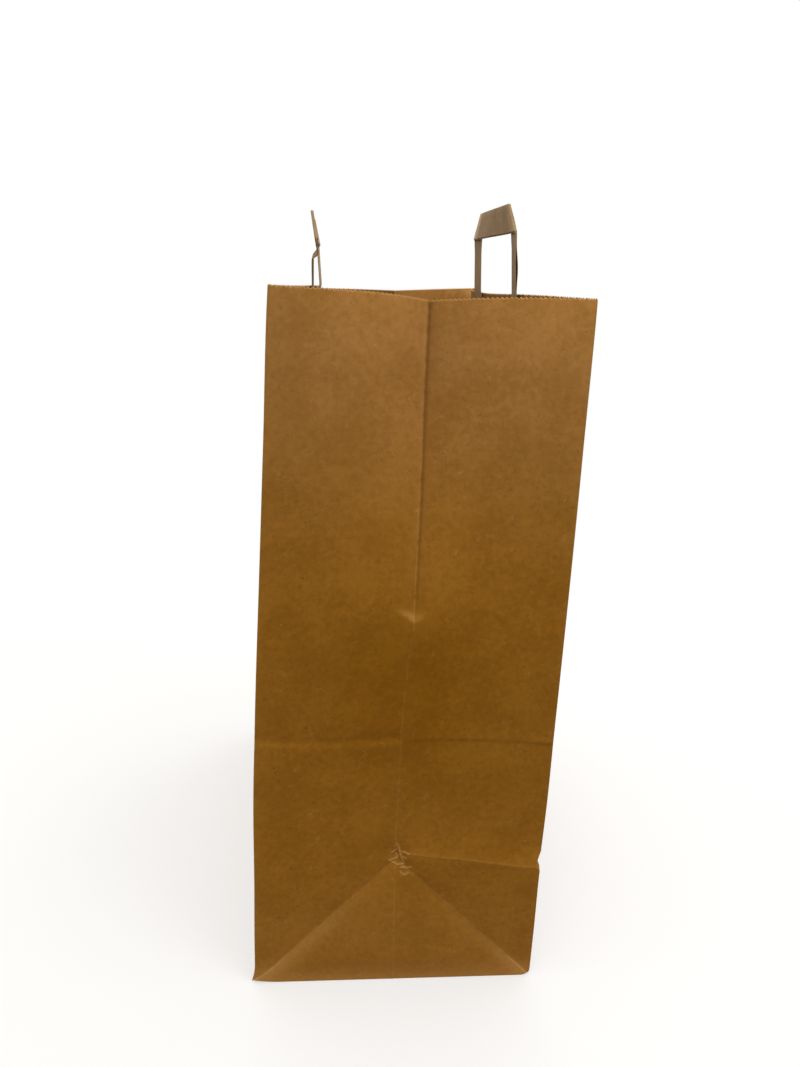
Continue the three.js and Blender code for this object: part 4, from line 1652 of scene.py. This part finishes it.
    def sheet(self) -> OpenSheet:
        """Sweeps the folded section through the stations.

        Returns:
            The tape as an open sheet.
        """
        across, depth = self.section()
        stations = self.stations()
        rise = self.stance.rise
        left = self.thickness - depth
        outer_ply = (np.arange(len(across)) <= self.ply_points) * (1.0 - across) ** 1.5
        rows = []
        for outer, inner, turned in stations:
            a = outer[0] + (inner[0] - outer[0]) * across
            h = outer[1] + (inner[1] - outer[1]) * across
            swing = math.pi * turned
            beyond = self.fold_bulge * left * math.sin(swing) / ROOT_TWO
            hand = 1.0 if outer[0] > 0 else -1.0
            leg = self.stance.near if hand > 0 else self.stance.far
            parted = leg.split * bell(outer[1] - self.split_level * rise, self.split_spread * rise)
            inside = self.thickness - left * math.cos(swing) - parted * outer_ply * (turned == 0.0)
            rows.append(self.spot(a + hand * beyond, h + beyond, inside, turned))
        points = np.stack(rows)
        steps = np.linalg.norm(np.diff(points.mean(axis=1), axis=0), axis=1)
        length = np.concatenate([[0.0], np.cumsum(steps)])
        strip = np.concatenate([[0.0], np.cumsum(np.hypot(np.diff(across) * self.width, np.diff(depth)))])
        flat = np.stack(np.meshgrid(strip + self.strip_cut, length), axis=-1)
        turning = np.array([0.0 < turned < 1.0 for _, _, turned in stations])[:, None]
        kept = {
            "fold_mm": np.minimum(across, 1.0 - across)[None, :] * self.width,
            "fold_wear": np.where(turning, self.fold_wear[1], self.fold_wear[0]),
            "rim_mm": self.edge_wear,
        }
        return OpenSheet.from_grid(points, flat, kept, self.stance.side is Side.BACK)

    def build(self, maker: PaperMaker) -> bpy.types.Object:
        """Makes the handle.

        Args:
            maker: Turns open sheets into paper.

        Returns:
            The finished piece.
        """
        return maker.make(self.sheet(), f"{self.stance.side.label}_tape", self.paper, PaperSizes(self.ply))


@dataclass
class GluedPatch:
    """A paper patch glued to a wall over the feet of a handle."""

    handle: TapeHandle
    paper: bpy.types.Material
    width: float = 150.0
    height: float = 54.0
    drop: float = 6.0
    ease: float = 3.0
    ripple_height: float = 0.06
    ripple_scale: float = 90.0
    ripple_seed: float = 2.0
    free_of_edge: Pair = (0.0, 10.0)
    columns: int = 121
    rows: int = 28
    cut: Pair = (200.0, 200.0)

    def offset(self, a: np.ndarray) -> np.ndarray:
        """How far the patch stands off the wall, over the two legs and down between them."""
        tape = self.handle
        past = np.abs(np.abs(a) - tape.middle) - tape.width / 2 - tape.glue
        return (1.0 - ramp(past, -0.4, tape.glue + self.ease)) * (tape.thickness + tape.glue)

    def sheet(self) -> OpenSheet:
        """Lays the patch over the wall and the handle's feet.

        Returns:
            The patch as an open sheet.
        """
        across = np.linspace(-self.width / 2, self.width / 2, self.columns)
        a, h = np.meshgrid(across, np.linspace(-self.drop - self.height, -self.drop, self.rows))
        points = self.handle.spot(a, h, self.offset(a) + self.handle.rules.paper)
        above, below = h + self.drop + self.height, -self.drop - h
        edge = np.minimum(self.width / 2 - np.abs(a), np.minimum(above, below))
        kept = {"fold_mm": NO_FOLD, "rim_mm": edge, "free": ramp(edge, *self.free_of_edge)}
        flat = np.stack([a, h], axis=-1) + self.cut
        return OpenSheet.from_grid(points, flat, kept, self.handle.stance.side is Side.FRONT)

    def build(self, maker: PaperMaker) -> bpy.types.Object:
        """Makes the patch.

        Args:
            maker: Turns open sheets into paper.

        Returns:
            The finished piece.
        """
        paper = self.handle.rules.paper
        sizes = PaperSizes(paper, 0.0, self.ripple_height, self.ripple_scale, self.ripple_seed)
        return maker.make(self.sheet(), f"{self.handle.stance.side.label}_patch", self.paper, sizes)


@dataclass(frozen=True)
class SoftBox:
    """One soft lamp over a side of the bag, in metres and watts."""

    name: str
    place: Spot
    aim: Spot
    size: float
    power: float

    def hang(self) -> None:
        """Hangs the lamp over the bag and aims it."""
        light = bpy.data.lights.new(self.name, "AREA")
        light.shape = "DISK"
        light.size = self.size
        light.energy = self.power
        lamp = stand(self.name, light)
        lamp.location = self.place
        lamp.visible_camera = False
        lamp.rotation_euler = (Vector(self.aim) - Vector(self.place)).to_track_quat("-Z", "Y").to_euler()


@dataclass
class Studio:
    """A white floor, soft lamps and a camera that looks at the bag's narrow end."""

    lamps: Tuple[SoftBox, ...] = (
        SoftBox("near_lamp", (0.25, 0.05, 0.56), (0.13, 0.0, 0.34), 0.10, 0.33),
        SoftBox("far_lamp", (-0.25, 0.05, 0.56), (-0.13, 0.0, 0.34), 0.10, 0.33),
        SoftBox("mouth_lamp", (-0.07, 0.06, 0.55), (-0.15, 0.05, 0.46), 0.06, 0.26),
    )
    room: Rgb = (1.0, 0.975, 0.93)
    room_level: float = 1.22
    floor_reach: float = 3.0
    floor_sides: int = 64
    eye: Spot = (0.5328, -0.0379, 0.4352)
    yaw: float = -4.544
    pitch: float = 18.423
    roll: float = 2.27
    lens: float = 25.737
    sensor: float = 36.0

    def build(self) -> None:
        """Sets up the floor, the light, the background and the camera."""
        self.floor()
        for lamp in self.lamps:
            lamp.hang()
        self.background()
        self.camera()
        bpy.context.scene.view_settings.view_transform = "Standard"

    def floor(self) -> None:
        """Lays the floor."""
        mesh = bpy.data.meshes.new("studio_floor")
        turns = np.linspace(0.0, 2.0 * math.pi, self.floor_sides, endpoint=False)
        ring = [(self.floor_reach * math.cos(t), self.floor_reach * math.sin(t), 0.0) for t in turns]
        mesh.from_pydata(ring, [], [tuple(range(len(ring)))])
        mesh.materials.append(StudioWhite().make())
        floor = stand("studio_floor", mesh)

    def background(self) -> None:
        """Makes the room white to the eye and gently lit."""
        world = bpy.data.worlds.new("studio_room")
        world.use_nodes = True
        bench = Bench(world.node_tree)
        seen = bench.seen()
        shown = {"Color": (*self.room, 1.0), "Strength": self.room_level}
        room = bench.add("ShaderNodeBackground", {}, shown)
        white = bench.add("ShaderNodeBackground", {}, {"Color": (1.0, 1.0, 1.0, 1.0), "Strength": 1.0})
        ends = {0: seen, 1: room.out("Background"), 2: white.out("Background")}
        mixed = bench.add("ShaderNodeMixShader", {}, ends).out("Shader")
        bench.add("ShaderNodeOutputWorld", {}, {"Surface": mixed})
        bpy.context.scene.world = world

    def camera(self) -> None:
        """Places the camera."""
        yaw, pitch, roll = (math.radians(angle) for angle in (self.yaw, self.pitch, self.roll))
        level = math.cos(pitch)
        ahead = Vector((-math.cos(yaw) * level, -math.sin(yaw) * level, -math.sin(pitch)))
        right = ahead.cross(Vector((0.0, 0.0, 1.0))).normalized()
        above = right.cross(ahead)
        tilted = right * math.cos(roll) + above * math.sin(roll)
        upright = above * math.cos(roll) - right * math.sin(roll)
        data = bpy.data.cameras.new("camera")
        data.lens = self.lens
        data.sensor_width = self.sensor
        data.sensor_fit = "AUTO"
        data.clip_start = 0.01
        data.dof.use_dof = False
        camera = stand("camera", data)
        turn = Matrix((tilted, upright, -ahead)).transposed().to_4x4()
        camera.matrix_world = Matrix.Translation(self.eye) @ turn
        bpy.context.scene.camera = camera


def main() -> None:
    """Builds the bag, its handles and patches, and the studio around them."""
    logging.basicConfig(level=logging.INFO, format="%(name)s: %(message)s")
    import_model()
    maker = PaperMaker(SheetTree().make())
    rules = SheetRules()
    kraft = KraftPaper(
        "kraft_paper",
        body=paint(138, 97, 49),
        deep=paint(129, 89, 40),
        worn=paint(186, 144, 86),
        bark=paint(58, 35, 14),
    ).make()
    hand_over(BagBody(rules, kraft).build(maker), "bag_body")
    tape = KraftPaper(
        "tape_paper",
        body=paint(141, 118, 89),
        deep=paint(131, 108, 80),
        worn=paint(186, 166, 140),
        bark=paint(80, 64, 48),
        mottle=0.22,
    ).make()
    patch = KraftPaper(
        "patch_paper",
        body=paint(146, 102, 50),
        deep=paint(136, 92, 40),
        worn=paint(176, 136, 88),
        bark=paint(62, 38, 16),
    ).make()
    for stance in (FRONT_STANCE, BACK_STANCE):
        handle = TapeHandle(rules, stance, tape)
        label = stance.side.label
        hand_over(handle.build(maker), f"handle_{label}")
        hand_over(GluedPatch(handle, patch).build(maker), f"patch_{label}")
    Studio().build()


if __name__ == "__main__":
    main()
